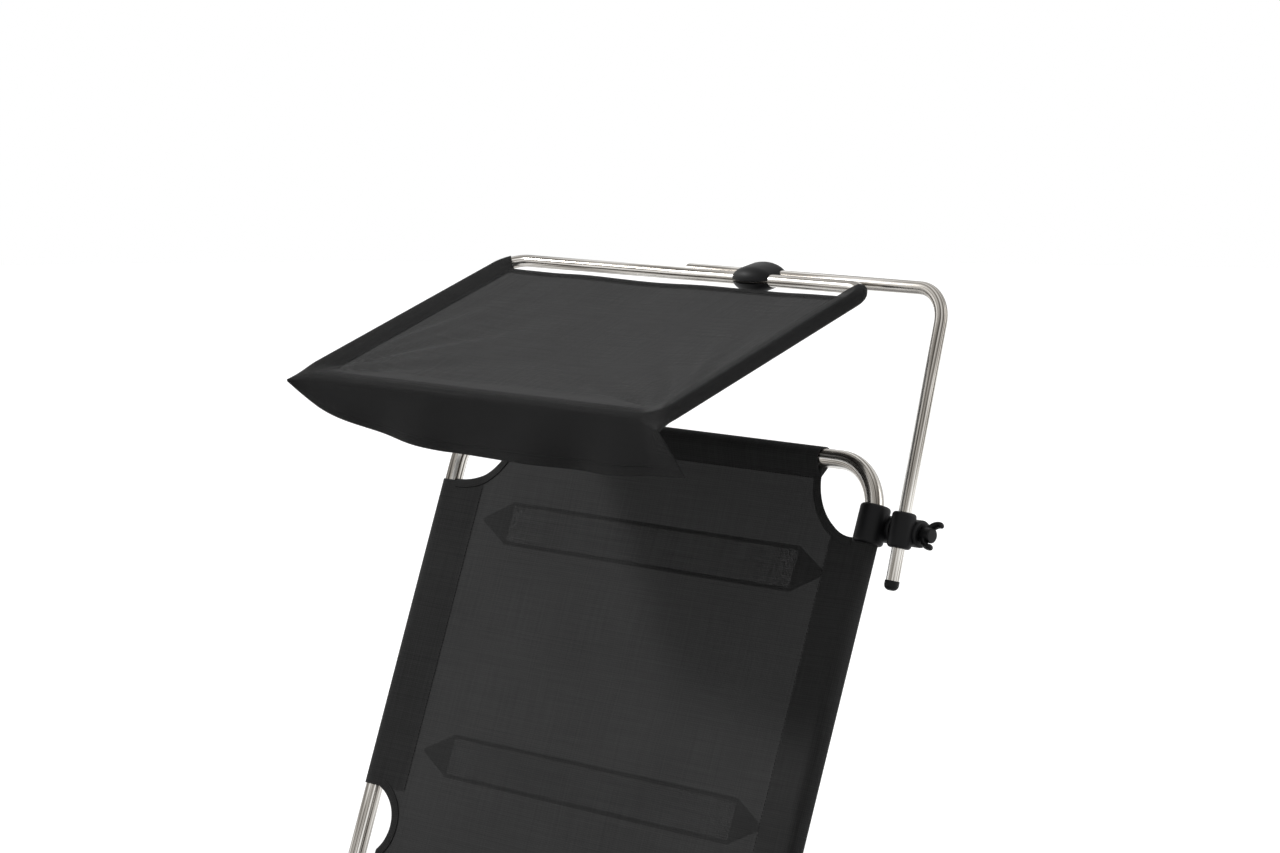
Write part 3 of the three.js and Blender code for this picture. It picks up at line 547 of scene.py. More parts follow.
def lift_at(side, along, tension):
    """The cloth's height over the tubes' plane: it rises to the side tubes and sags between them."""
    if abs(side) >= seam_side:
        return (abs(side) - seam_side) * side_rise
    share = (1 - (side / seam_side) ** 2) * tension
    ripple = sling_ripple * sin(along * 31 + side * 9)
    ripple += fine_ripple * sin(along * 67 - side * 23 + 1.3)
    return share * (ripple - sling_sag)


def section_rows(sleeve_end, corner_middle=None, corner_centre=None, corner_radius=None):
    """A panel's rows from the hinge outwards: (distance, half width, whether sleeved)."""
    rows = [(distance, panel_edge, False) for distance in first_rows]
    first = -acos((half_width - panel_edge) / hinge_cut_radius)
    last = asin((sleeve_start - hinge_cut_place) / hinge_cut_radius)
    for step in range(15):
        angle = first + (last - first) * step / 14
        place = hinge_cut_place + hinge_cut_radius * sin(angle)
        rows.append((place, half_width - hinge_cut_radius * cos(angle), step == 14))
    start = rows[-1][1]
    count = round((sleeve_end - sleeve_start) / row_gap)
    for step in range(1, count + 1):
        share = step / count
        half = start + (sleeve_edge - start) * share
        rows.append((sleeve_start + (sleeve_end - sleeve_start) * share, half, True))
    if corner_middle is None:
        return rows
    first = acos((corner_centre - sleeve_edge) / corner_radius)
    for step in range(1, 19):
        angle = first * (1 - step / 18)
        half = corner_centre - corner_radius * cos(angle)
        rows.append((corner_middle - corner_radius * sin(angle), half, False))
    return rows


def panel_rows(place, way, rows, far_end):
    """A panel's rows in its section's frame, as (origin, normal, tension, half, sleeved)."""
    normal = place.to_3x3() @ Vector((0, 0, 1))
    made = []
    for distance, half, sleeved in rows:
        tension = 1
        if far_end:
            tension = min(1, (far_end - distance) / rail_slack, max(0, distance - hinge_slack) / slack_reach)
        made.append((place @ Vector((0, way * distance, 0)), normal, max(0, tension), half, sleeved))
    return made


def rail_rows(place, way, rail):
    """Rows that go round an end rail and come back behind it to the seam."""
    rise = asin(sleeve_radius / rail_seam_drop)
    seam = rail - rail_seam_drop
    normal = place.to_3x3() @ Vector((0, 0, 1))
    outward = place.to_3x3() @ Vector((0, way, 0))
    made = []
    for distance, lift, flat in sleeve_section(seam, rail, seam, 14):
        facing = (outward * (distance - rail) + normal * lift).normalized()
        if distance < rail - sleeve_radius * sin(rise) + hair:
            facing = normal
        if lift < -sleeve_radius * cos(rise):
            facing = -normal
        made.append((place @ Vector((0, way * distance, lift)), facing, 0, rail_half, False))
    return made


def fold_rows():
    """Rows that carry the sling round the inside of the back hinge's angle."""
    centre = seat_place @ Vector((0, -hinge_fold_radius * tan(back_angle / 2), hinge_fold_radius))
    made = []
    for step in range(8, 0, -1):
        angle = back_angle * step / 9
        normal = Vector((0, -sin(angle), cos(angle)))
        made.append((centre - normal * hinge_fold_radius, normal, 0, panel_edge, False))
    return made


def columns_of(half):
    """Places across a row: evenly to the side seam, then a few more to the edge."""
    inner = min(seam_side, half - edge_margin)
    places = [inner * step / 26 for step in range(-26, 27)]
    outer = [inner + (half - inner) * step / 4 for step in range(1, 5)]
    return [-side for side in reversed(outer)] + places + outer


def sling_patches(rows, along):
    """The patches of one length of sling from a place along the cloth, and its end's place."""
    east = Vector((1, 0, 0))
    panel = []
    for index, (origin, normal, tension, half, sleeved) in enumerate(rows):
        if index:
            along += (origin - rows[index - 1][0]).length
        line = []
        for side in columns_of(half):
            lift = lift_at(side, along, tension) if half > rail_half + hair else 0
            line.append((origin + east * side + normal * lift, (side, along)))
        panel.append(line)
    patches = [panel]
    runs = []
    for index, row in enumerate(rows):
        if row[4]:
            if not runs or runs[-1][-1] != index - 1:
                runs.append([])
            runs[-1].append(index)
    for run in runs:
        for sign in (-1, 1):
            sleeve = []
            for index in run:
                origin, normal, half = rows[index][0], rows[index][1], rows[index][3]
                place = panel[index][0][1][1]
                sleeve.append([
                    (origin + east * sign * side + normal * lift, (sign * flat, place))
                    for side, lift, flat in sleeve_section(seam_side, half_width, half, 12)
                ])
            patches.append(sleeve)
    return patches, along


def arc_line(centre, radius, first, last):
    """Points of a round cut-out as (side, distance, and the way into the cloth)."""
    count = max(2, round(abs(last - first) * radius / arc_gap))
    line = []
    for step in range(count + 1):
        angle = first + (last - first) * step / count
        way = (cos(angle), sin(angle))
        line.append((centre[0] + radius * way[0], centre[1] + radius * way[1], *way))
    return line


# From the rear lip's edge round the cloth's edge to the front lip's, as (inset, lift) in
# shares of the tape's width and of its lift.
binding_section = [(1, -1), (0.5, -1), (0.06, -1), (-0.06, -0.4), (-0.06, 0.4), (0.06, 1)]
binding_section += [(0.5, 1), (1, 1), (1.02, 0.45)]


def binding_patch(place, way, sign, line):
    """A tape folded over the cloth's edge, with one lip in front and one behind."""
    patch = []
    reached = 0
    for index, (side, distance, over, onward) in enumerate(line):
        if index:
            reached += hypot(side - line[index - 1][0], distance - line[index - 1][1])
        row = []
        for inset, lift in binding_section:
            across = side + over * binding_width * inset
            ahead = distance + onward * binding_width * inset
            spot = Vector((sign * across, way * ahead, lift_at(across, ahead, 0) + binding_lift * lift))
            row.append((place @ spot, (reached, binding_width * (inset + lift))))
        patch.append(row)
    return patch


def sew(name, lines):
    """Rows of stitches along lines of (point, normal), as one piece."""
    points, faces = [], []
    for line in lines:
        ahead = 0
        for (start, normal), (end, following) in zip(line, line[1:]):
            length = (end - start).length
            while ahead < length:
                way = (end - start) / length
                middle = start + way * ahead
                across = normal.cross(way).normalized()
                first = len(points)
                # A stitch's reach and width in millimetres.
                for reach, width in ((-1.3, 0.12), (-0.8, 0.32), (0.8, 0.32), (1.3, 0.12)):
                    for corner in range(6):
                        turn = pi / 3 * corner
                        offset = across * cos(turn) * width + normal * sin(turn) * width
                        points.append(middle + (way * reach + offset) * 0.001)
                for ring in range(3):
                    for corner in range(6):
                        at = first + ring * 6 + corner
                        after = first + ring * 6 + (corner + 1) % 6
                        faces.append((at, after, after + 6, at + 6))
                faces.append([first + corner for corner in reversed(range(6))])
                faces.append([first + 18 + corner for corner in range(6)])
                ahead += stitch_pitch
            ahead -= length
    stitches = piece_from(name, points, faces)
    mend_skin()
    place_and_finish(stitches, None, thread, smooth_angle=60)
    return stitches


def seam_line(place, way, spots):
    """A stitched line through (side, distance) spots in a section's frame."""
    normal = place.to_3x3() @ Vector((0, 0, 1))
    passed = []
    for (side, distance), (next_side, next_distance) in zip(spots, spots[1:]):
        count = max(1, round(hypot(next_side - side, next_distance - distance) / seam_gap))
        for step in range(count):
            share = step / count
            passed.append((side + (next_side - side) * share, distance + (next_distance - distance) * share))
    passed.append(spots[-1])
    return [
        (place @ Vector((side, way * distance, lift_at(side, distance, 0) + seam_lift)), normal)
        for side, distance in passed
    ]


bite_first = pi + acos((half_width - panel_edge) / hinge_cut_radius)
bite_last = pi - asin((sleeve_start - hinge_cut_place) / hinge_cut_radius)
bite = ((half_width, hinge_cut_place), hinge_cut_radius, bite_first, bite_last)
straight_edge = [(panel_edge, distance, -1, 0) for distance in (0.03, 0.045, 0.06, 0.075)]
hem_inset = binding_width - 0.0015
rail_clearance = 0.001
back_sleeve_end = 0.5196
foot_sleeve_end = 0.440
back_corner = (0.593, 0.310, 0.072)
foot_corner = (foot_length, 0.4518, 0.2138)
back_part = ("backrest", back_place, 1, back_sleeve_end, back_length, back_corner)
seat_upper_part = ("seat", seat_place, -1, seat_seam_place, 0, ())
seat_lower_part = ("seat", foot_place, 1, seat_seam_place, 0, ())
foot_part = ("foot_section", foot_place, -1, foot_sleeve_end, foot_length, foot_corner)
cloth_end = 0
for name, parts, folded, rail_tube, replaced in (
    ("upper", (back_part, seat_upper_part), fold_rows(), "back_tube_bent", ["sling_back"]),
    ("lower", (seat_lower_part, foot_part), [], "foot_tube_bent", ["sling_seat", "sling_foot"]),
):
    bindings, seams, panels = [], [], []
    for body, place, way, sleeve_end, rail, corner in parts:
        rows = section_rows(sleeve_end, *corner)
        cuts = [bite]
        if rail:
            seam = rail - rail_seam_drop
            rows = [row for row in rows if row[0] < seam - rail_clearance]
            panels.append(panel_rows(place, way, rows, seam) + rail_rows(place, way, rail))
            middle, centre, radius = corner
            end = pi + acos((centre - sleeve_edge) / radius)
            cuts.append(((centre, middle), radius, pi, end))
            seams.append(seam_line(place, way, [(-rail_half, seam), (rail_half, seam)]))
        else:
            panels.append(panel_rows(place, way, rows, 0))
        edges = [arc_line(*cut) for cut in cuts]
        edges[0] = straight_edge + edges[0]
        lines = [[(seam_side, sleeve_start + seam_inset), (seam_side, sleeve_end - seam_inset)]]
        for centre, radius, first, last in cuts:
            lines.append([spot[:2] for spot in arc_line(centre, radius + hem_inset, first, last)])
        for sign in (-1, 1):
            bindings += [binding_patch(place, way, sign, line) for line in edges]
            for line in lines:
                seams.append(seam_line(place, way, [(sign * side, distance) for side, distance in line]))
    rows = list(reversed(panels[0])) + folded + panels[1]
    woven, cloth_end = sling_patches(rows, cloth_end)
    sling = cloth_from(f"sling_{name}", woven + bindings, cloth_gauge)
    place_and_finish(sling, None, sling_weave, replaced)
    stitching = sew(f"sling_{name}_stitching", seams)
    joined = [part[0] for part in parts]
    joined += [place @ Vector((0, way * blend_reach, 0)) for body, place, way, *others in parts]
    for piece in (sling, stitching):
        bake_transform(piece, *joined)

# Cross bands
# Behind the backrest two strips of thin net are sewn on, each with a folded hem along
# both edges and a pointed end of doubled black cloth, to hold the backrest's sling flat.
# The hems and ends are painted darker than the sling, as painted shade in their folded layers.
band_half_width = 0.0252
band_half = 0.226
band_shift = 0.006
band_tip = 0.042
tip_overlap = 0.003
band_hem = 0.0036
hem_overlap = 0.001
band_gauge = 0.0006
band_drop = 0.0021
hem_layer = 0.0007
# Net: sheer knitted polyester that mostly shows what is behind it.
net = woven_finish("sheer_polyester_net", "#2c2c2c", "#484848", 0.10, 0.0030)
# Doubled cloth: the same yarn as the sling, folded, which lets no light through. Its greys
# are darker than the sling's: painted shade of the folded layers.
doubled_cloth_painted_shade = woven_finish("doubled_sling_polyester_painted_shade", "#1b1b1b", "#333333", 1.0, 0.0022)


def band_grid(sides, heights, middle, drop):
    """A patch of a band behind the backrest's cloth, between two lines of heights across it."""
    grid = []
    for side, line in zip(sides, heights):
        across = side + band_shift
        row = []
        for height in line:
            distance = middle + height
            spot = Vector((across, distance, lift_at(across, distance, 1) - drop))
            row.append((back_place @ spot, (side, distance)))
        grid.append(row)
    return grid


for name, middle in (("upper", 0.481), ("lower", 0.207)):
    sides = [band_half * step / 20 for step in range(-20, 21)]
    inner = band_half_width - band_hem
    field = [[inner * step / 3 for step in range(-3, 4)]] * len(sides)
    band = cloth_from(f"sling_band_{name}_net", [band_grid(sides, field, middle, band_drop)], band_gauge)
    place_and_finish(band, "backrest", net, [f"sling_band_{name}"])
    hems = []
    for sign in (-1, 1):
        edge = [sign * (inner - hem_overlap), sign * (inner + band_hem / 2), sign * band_half_width]
        hems.append(band_grid(sides, [edge] * len(sides), middle, band_drop + hem_layer))
        tips = [sign * (band_half - tip_overlap + (band_tip + tip_overlap) * step / 8) for step in range(9)]
        halves = [band_half_width * (1 - 0.94 * step / 8) for step in range(9)]
        reach = [[half * share for share in (-1, -0.5, 0, 0.5, 1)] for half in halves]
        hems.append(band_grid(tips, reach, middle, band_drop + 2 * hem_layer))
    hem = cloth_from(f"sling_band_{name}_hem", hems, band_gauge)
    place_and_finish(hem, "backrest", doubled_cloth_painted_shade)

# Clamp
# Two moulded nylon barrels, one on the side tube and one on the sunshade's rod, each
# split behind so that the cross bolt through their ears squeezes both. The bolt is
# plated steel with a round head, and its far end is moulded into the wing knob.
clamp_at = back_length - 0.064
bolt_offset = 0.017
rod_beside = 0.042
rod_side = half_width + rod_beside
rod_lean = radians(4.6)
clamp_place = back_place @ Matrix.Translation((0, clamp_at, 0))
rod_place = (
    clamp_place
    @ Matrix.Translation((rod_side, 0, -bolt_offset))
    @ Matrix.Rotation(rod_lean, 4, "X")
    @ Matrix.Translation((0, 0, bolt_offset))
)
rod_radius = 0.007
bore_play = 0.00035
bolt_radius = 0.003
bolt_play = 0.0003
frame_boss = (tube_radius + bore_play, 0.006, 0.042)
rod_boss = (rod_radius + bore_play, 0.0055, 0.038)
barrel_edge = 0.0040
ear_edge = 0.0030
ear_radius = 0.0145
ear_reach = 0.015
ear_meeting = rod_beside / 2 - 0.00015
cut_edge = 0.0004
cut_past = 0.01
bore_reach = 0.04
slit_width = 0.003


def round_bar(start, end, radius, rounding=0):
    """A round bar between two points, with rounded rims."""
    start, end = Vector(start), Vector(end)
    bpy.ops.mesh.primitive_cylinder_add(
        vertices=48,
        radius=radius,
        depth=(end - start).length,
        location=(start + end) / 2,
        rotation=(end - start).to_track_quat("Z", "Y").to_euler(),
    )
    bar = bpy.context.object
    bpy.ops.object.transform_apply()
    if rounding:
        round_edges(bar, rounding, 5, 40)
    return bar


def block(low, high):
    """A square block between two corners."""
    low, high = Vector(low), Vector(high)
    bpy.ops.mesh.primitive_cube_add(size=1, location=(low + high) / 2, scale=high - low)
    bpy.ops.object.transform_apply()
    return bpy.context.object


def join_with(piece, others, operation, solver="EXACT"):
    """Adds the others to the piece or cuts them out of it."""
    for other in others:
        use_modifier(piece, "BOOLEAN", {"object": other, "operation": operation, "solver": solver})
        bpy.data.objects.remove(other)


def split_barrel(name, boss, low, high, way_through):
    """A barrel with an ear for the bolt, slit through behind, its edges rounded."""
    bore, wall, length = boss
    barrel = round_bar((0, -length / 2, 0), (0, length / 2, 0), bore + wall, barrel_edge)
    barrel.name = name
    ear = round_bar((low, 0, -bolt_offset), (high, 0, -bolt_offset), ear_radius, ear_edge)
    join_with(barrel, [ear], "UNION")
    slit_end = -bolt_offset - 2 * ear_radius
    slit = block((-slit_width / 2, -length, slit_end), (slit_width / 2, length, 0))
    hole_ends = [(end, 0, -bolt_offset) for end in (low - cut_past, high + cut_past)]
    hole = round_bar(*hole_ends, bolt_radius + bolt_play)
    join_with(barrel, [way_through, slit, hole], "DIFFERENCE")
    round_edges(barrel, cut_edge)
    return barrel


rail_ahead = back_length - clamp_at
corners = [(0, -hinge_reach, 0), (0, rail_ahead, 0), (-2 * half_width, rail_ahead, 0)]
way_through = swept_skin("way_through", corners, frame_bend, tube_radius + bore_play, True)[0]
barrel = split_barrel("frame_clamp_moulded", frame_boss, -ear_reach, ear_meeting, way_through)
barrel_place = clamp_place @ Matrix.Translation((half_width, 0, 0))
place_and_finish(barrel, "backrest", nylon, ["frame_clamp"], barrel_place)
way_through = round_bar((0, -bore_reach, 0), (0, bore_reach, 0), rod_radius + bore_play)
barrel = split_barrel("rod_clamp_moulded", rod_boss, -ear_meeting, ear_reach, way_through)
place_and_finish(barrel, "rod_clamp", nylon, ["rod_clamp"], rod_place)
softened("clamp_bolt", steel_edge, plated_steel)

# Wing knob
# A moulded hub with two curled wings for finger and thumb, turned by hand on the bolt.
# The bolt's end is moulded into the hub's blind socket.
knob_play = 0.0003
knob_face = rod_side + ear_reach + knob_play
knob_length = 0.0125
knob_radius = 0.008
knob_edge = 0.0015
socket_start = -0.005
socket_depth = 0.0103
wing_low = (0.0010, 0.0020, -0.0056)
wing_high = (0.0090, 0.0065, 0.0056)
wing_middle = (0.0050, 0.0065, 0)
wing_step = 0.0044
wing_turn = radians(20)
wing_taper = 0.95


def edit_chosen(parts, is_chosen):
    """Opens the active piece for editing with only the chosen faces or points selected."""
    bpy.ops.object.mode_set(mode="EDIT")
    bpy.ops.mesh.select_all(action="DESELECT")
    bpy.ops.object.mode_set(mode="OBJECT")
    for part in parts:
        part.select = is_chosen(part)
    bpy.ops.object.mode_set(mode="EDIT")


knob = round_bar((0, 0, 0), (knob_length, 0, 0), knob_radius, knob_edge)
knob.name = "wing_knob_moulded"
for turn in (0, pi):
    wing = block(wing_low, wing_high)
    edit_chosen(wing.data.polygons, lambda face: face.normal.y > 0.9)
    tip = Vector(wing_middle)
    lean = 90
    for onward in (62, 36, 12, -8):
        move = Vector((cos(radians(onward)), sin(radians(onward)), 0)) * wing_step
        tip += move
        bpy.ops.mesh.extrude_region_move(TRANSFORM_OT_translate={"value": move})
        bpy.ops.transform.rotate(value=radians(lean - onward), orient_axis="Z", center_override=tip)
        bpy.ops.transform.resize(value=[wing_taper] * 3, center_override=tip)
        lean = onward
    bpy.ops.object.mode_set(mode="OBJECT")
    use_modifier(wing, "SUBSURF", {"levels": 3, "render_levels": 3})
    wing.matrix_world = Matrix.Rotation(turn - wing_turn, 4, "X")
    bpy.ops.object.transform_apply()
    join_with(knob, [wing], "UNION")
socket = round_bar((socket_start, 0, 0), (socket_depth, 0, 0), bolt_radius + bolt_play)
join_with(knob, [socket], "DIFFERENCE")
knob_place = clamp_place @ Matrix.Translation((knob_face, 0, -bolt_offset))
place_and_finish(knob, "wing_knob", nylon, ["wing_knob"], knob_place, 50)

# Sunshade rod
# One length of thinner tube with a single round bend, held upright in the clamp. Its
# lower end wears a pushed-on black cap, and its upper end is cut square and open.
rod_below = 0.058
rod_height = 0.254
rod_bend = 0.035
rod_past = 0.009
cap_radius = 0.0078
cap_below = 0.0052
cap_above = 0.0050
cap_dome = 0.0058
cap_play = 0.0003
cap_edge = 0.0003
cap_bore_end = 0.03
corners = [(0, -rod_below, 0), (0, rod_height, 0), (-rod_side - rod_past, rod_height, 0)]
fit_tube("canopy_rod_bent", corners, rod_bend, rod_radius, "canopy_rod", "canopy_rod", rod_place)
cap = round_bar((0, -rod_below - cap_below, 0), (0, cap_above - rod_below, 0), cap_radius)
cap.name = "rod_end_cap_moulded"
edit_chosen(cap.data.polygons, lambda face: face.normal.y < -0.9)
bpy.ops.mesh.bevel(offset=cap_dome, segments=7, affect="EDGES")
bpy.ops.object.mode_set(mode="OBJECT")
bore = round_bar((0, -rod_below - cap_play, 0), (0, cap_bore_end - rod_below, 0), rod_radius + cap_play)
join_with(cap, [bore], "DIFFERENCE")
round_edges(cap, cap_edge)
place_and_finish(cap, "rod_end_cap", nylon, ["rod_end_cap"], rod_place)

# Canopy clip
# A domed nylon moulding with two parallel bores, each slit open on its far side, so that
# it snaps over the rod with one and over the canopy's bare rear bar with the other.
bar_below = 0.0075
bar_ahead = 0.0148
clip_reach = 0.030
clip_dome = 0.0150
clip_middle = 0.106 - rod_side
bpy.ops.mesh.primitive_uv_sphere_add(segments=48, ring_count=32, rotation=(0, radians(90), 0))
clip = bpy.context.object
clip.name = "canopy_clip_moulded"
bpy.ops.object.transform_apply()
clip.scale = (clip_reach, clip_dome, clip_dome)
clip.location = (clip_middle, rod_height, 0)
bpy.ops.object.transform_apply()
to_bar = Vector((0, -bar_below, bar_ahead))
middle = Vector((0, rod_height, 0))
edit_chosen(clip.data.vertices, lambda vertex: (vertex.co - middle).dot(to_bar) > 0)
bpy.ops.transform.translate(value=to_bar)
bpy.ops.object.mode_set(mode="OBJECT")
low, high = clip_middle - 2 * clip_reach, clip_middle + 2 * clip_reach
cutters = []
for centre, out in ((middle, -to_bar.normalized()), (middle + to_bar, to_bar.normalized())):
    cutters.append(round_bar((low, *centre.yz), (high, *centre.yz), rod_radius + bore_play))
    slit = block((low, -slit_width / 2, 0), (high, slit_width / 2, clip_reach))
    facing = Vector((0, 0, 1)).rotation_difference(out).to_matrix().to_4x4()
    slit.matrix_world = Matrix.Translation((0, *centre.yz)) @ facing
    bpy.ops.object.transform_apply()
    cutters.append(slit)
join_with(clip, cutters, "DIFFERENCE", "FAST")
round_edges(clip, cut_edge)
place_and_finish(clip, "canopy_clip", nylon, ["canopy_clip"], rod_place)

# Canopy tube
# One loop of thin tube with a rounded corner at each end of both long sides. Its ends
# meet in the middle of the front, over a turned steel plug.
canopy_shift = 0.004
canopy_lean = radians(-54.9)
canopy_place = (
    rod_place
    @ Matrix.Translation((-rod_side - canopy_shift, rod_height - bar_below, bar_ahead))
    @ Matrix.Rotation(canopy_lean, 4, "X")
)
canopy_side = 0.2792
canopy_depth = 0.336
canopy_radius = 0.007
canopy_bend = 0.028
joint_gap = 0.00015
corners = [
    (-joint_gap, -canopy_depth, 0),
    (-canopy_side, -canopy_depth, 0),
    (-canopy_side, 0, 0),
    (canopy_side, 0, 0),
    (canopy_side, -canopy_depth, 0),
    (joint_gap, -canopy_depth, 0),
]
fit_tube("canopy_frame_bent", corners, canopy_bend, canopy_radius, "canopy", "canopy_frame", canopy_place)
softened("canopy_joint_plug", steel_edge, plated_steel)

# Canopy cloth
# One sheet of the heavier black weave. Its sides are folded round the tube as sleeves
# that run past the rear corners, its rear edge is hemmed and free, and its front goes
# over the tube and hangs as a short doubled valance. Its left corner curls back under
# and its right one stands out a little.
canopy_sleeve_radius = 0.0079
canopy_seam = 0.253
rear_edge = 0.024
front_seam = 0.298
front_steps = 42
corner_steps = 16
side_steps = 36
rear_steps = 8
canopy_gauge = 0.0009
canopy_dip = 0.006
canopy_ripple = 0.0007
crease_side = 0.290
crease_back = 0.330
crease_length = 0.11
crease_height = 0.0044
fine_crease = 0.0026
corner_reach = 0.0360
corner_point_left = 0.0035
corner_point_right = 0.0110
tip_flattening = 0.017
valance_half = 0.290
valance_drop = 0.067
valance_lean = radians(19.8)
valance_wave = 0.0040
fine_wave = 0.0012
curl_width = 0.260
curl_turn = radians(45)
curl_rise = 0.96
flare_width = 0.090
flare_reach = 0.032
hem_lift = 0.0011
rear_hem_insets = (0.0004, 0.004, 0.008)
rear_seam_inset = 0.0070
side_seam_start = 0.030
side_seam_length = 0.262
facing_radius = canopy_sleeve_radius - 0.0007
facing_lip = ((0.0105, 0.0044), (0.0145, 0.0041))
facing_pitch = 0.0025
canopy_weave = woven_finish("woven_canopy_polyester", "#272727", "#3c3c3c", 0.855, 0.0020)


def canopy_sag(side, back):
    """The field's height over the tubes' plane: it hangs, with creases near its front corners."""
    share = max(0, 1 - (side / canopy_seam) ** 2)
    depth = max(0, min(1, (back + front_seam) / (front_seam - rear_edge)))
    sag = -canopy_dip * share * sin(pi * (0.12 + 0.8 * depth))
    ripple = canopy_ripple * sin(side * 33 + back * 19) * share
    for sign in (-1, 1):
        away = Vector((side - sign * crease_side, back + crease_back))
        turn = atan2(away.y, -sign * away.x)
        fade = exp(-away.length / crease_length) * min(1, max(0, away.length - 0.02) / 0.04)
        fade *= max(0, min(1, (canopy_seam - abs(side)) / 0.02))
        ripple += fade * crease_height * sin(turn * 13 + 0.5)
        ripple += fade * fine_crease * sin(turn * 29 + 1)
    return sag + ripple


def on_canopy(side, back, lift=0):
    """A place on the canopy's field, lifted off its middle."""
    return canopy_place @ Vector((side, back, canopy_sag(side, back) + lift))


def canopy_stations(corner_point):
    """Places along the tube from the rear end of a sleeve to the middle of the front.

    Each is the tube's axis, the way out, the cloth's reach and the panel's seam.
    """
    stations = []
    for step in range(rear_steps // 2, rear_steps + 1):
        turn = pi / 2 + pi / 2 * step / rear_steps
        out, on = cos(turn), sin(turn)
        side, back = canopy_bend - canopy_side + canopy_bend * out, canopy_bend * on - canopy_bend
        stations.append((side, back, out, on, canopy_sleeve_radius, -canopy_seam, -rear_edge))
    for step in range(1, side_steps + 1):
        share = step / side_steps
        back = -canopy_bend - (canopy_depth - 2 * canopy_bend) * share
        inner_back = -rear_edge - (front_seam - rear_edge) * share
        stations.append((-canopy_side, back, -1, 0, canopy_sleeve_radius, -canopy_seam, inner_back))
    for step in range(1, corner_steps + 1):
        turn = pi + pi / 2 * step / corner_steps
        out, on = cos(turn), sin(turn)
        off = min(step, corner_steps - step) * 2 / corner_steps
        reach = (corner_reach + corner_point * off ** 4) / cos(pi / 4 * off) - canopy_bend
        side, back = canopy_bend - canopy_side + canopy_bend * out, canopy_bend * (1 + on) - canopy_depth
        stations.append((side, back, out, on, reach, -canopy_seam, -front_seam))
    for step in range(1, front_steps + 1):
        share = 1 - step / front_steps
        side = (canopy_bend - canopy_side) * share
        stations.append((side, -canopy_depth, 0, -1, canopy_sleeve_radius, -canopy_seam * share, -front_seam))
    return stations


def station_row(station):
    """The cloth from the panel over the tube to where the valance or the sleeve's underside starts."""
    side, back, out, on, reach, inner, inner_back = station
    row = []
    for step in range(6):
        share = step / 6
        across = inner + (side - inner) * share
        ahead = inner_back + (back - inner_back) * share
        rise = canopy_sleeve_radius * (sin(pi / 2 * share) * 0.35 + share * 0.65)
        row.append((across, ahead, rise + canopy_sag(across, ahead) * (1 - share)))
    flat_share = min(1, max(0, reach - canopy_sleeve_radius) / tip_flattening)
    round_share = 1 - flat_share
    leave = pi / 2 - valance_lean
    for step in range(8):
        share = step / 7
        go = reach * (sin(leave) * round_share + flat_share)
        go *= sin(leave * share) / sin(leave) * round_share + share * flat_share
        height = cos(leave * share) * round_share + (1 - 0.75 * share) * flat_share
        row.append((side + out * go, back + on * go, canopy_sleeve_radius * height))
    return row


def sleeve_under(station, start):
    """The sleeve's underside, from the outer edge back to the seam."""
    side, back, out, on, reach, inner, inner_back = station
    row = [start]
    for step in range(1, 8):
        share = step / 7
        turn = -pi / 2 * share + valance_lean * (1 - share)
        go = reach * cos(turn)
        row.append((side + out * go, back + on * go, canopy_sleeve_radius * sin(turn)))
    for step in range(1, 6):
        share = step / 5
        height = -canopy_sleeve_radius * (1 - share) - canopy_gauge * share
        row.append((side + (inner - side) * share, back + (inner_back - back) * share, height))
    return row


def valance_spot(top, share, outward=0):
    """A point of the hanging valance under one of its top edge, at a share of its drop."""
    side, back, height = top
    near = max(0, min(1, 1 - (side + valance_half) / curl_width))
    near *= 1.12 * near / (near + 0.12)
    flare = max(0, 1 - (valance_half - side) / flare_width) ** 2
    length = (valance_drop - canopy_sleeve_radius) * (1 - curl_rise * (0.4 * near + 0.6 * near ** 9))
    length *= 1 - 0.2 * flare
    turn = share * near * curl_turn
    chord = share * length * (sin(turn / 2) / (turn / 2) if turn > 0 else 1)
    wave = valance_wave * sin(pi * 3.5 * (side + valance_half) / valance_half)
    wave = (wave + fine_wave * sin(side * 61 + 0.7)) * share * (1 - near)
    forward = wave - chord * sin(turn / 2) + outward * cos(turn)
    down = chord * cos(turn / 2) + outward * sin(turn)
    return (
        side + flare_reach * flare * share,
        back - forward * cos(valance_lean) - down * sin(valance_lean),
        height + forward * sin(valance_lean) - down * cos(valance_lean),
    )


def placed(row, flats):
    """A row of local points brought to the canopy's place, each with its place on the flat cloth."""
    return [(canopy_place @ Vector(point), flat) for point, flat in zip(row, flats)]


left_half = canopy_stations(corner_point_left)
right_half = canopy_stations(corner_point_right)
stations = list(left_half)
for side, back, out, on, reach, inner, inner_back in reversed(right_half[:-1]):
    stations.append((-side, back, -out, on, reach, -inner, inner_back))
tops = [station_row(station) for station in stations]
after_tip = front_steps + corner_steps // 2 + 1
tip_left = len(left_half) - after_tip
tip_right = len(stations) - 1 - (len(right_half) - after_tip)
front_first = len(left_half) - front_steps - 1
front_line = stations[front_first:len(stations) - len(right_half) + front_steps + 1]
columns = [station[5] for station in front_line]
field = []
for step in range(37):
    back = -rear_edge - (front_seam - rear_edge) * step / 36
    field.append([(on_canopy(side, back), (side, back)) for side in columns])
over = [placed(row, [(point[0], point[1] + point[2]) for point in row]) for row in tops]
unders, valance, hem = [[], []], [], []
for index, (station, row) in enumerate(zip(stations, tops)):
    edge = row[-1]
    if index <= tip_left or index >= tip_right:
        under = sleeve_under(station, edge)
        flats = [(point[0] + 0.1, point[1] - point[2]) for point in under]
        unders[index >= tip_right].append(placed(under, flats))
    if tip_left <= index <= tip_right:
        falls = [(edge[0], -canopy_depth - 0.02 - valance_drop * step / 12) for step in range(13)]
        valance.append(placed([valance_spot(edge, step / 12) for step in range(13)], falls))
        lining = [valance_spot(edge, 0.99 - 0.93 * step / 12, -hem_lift) for step in range(13)]
        hem.append(placed(lining, [(edge[0], -canopy_depth - 0.08 - 0.005 * step) for step in range(13)]))
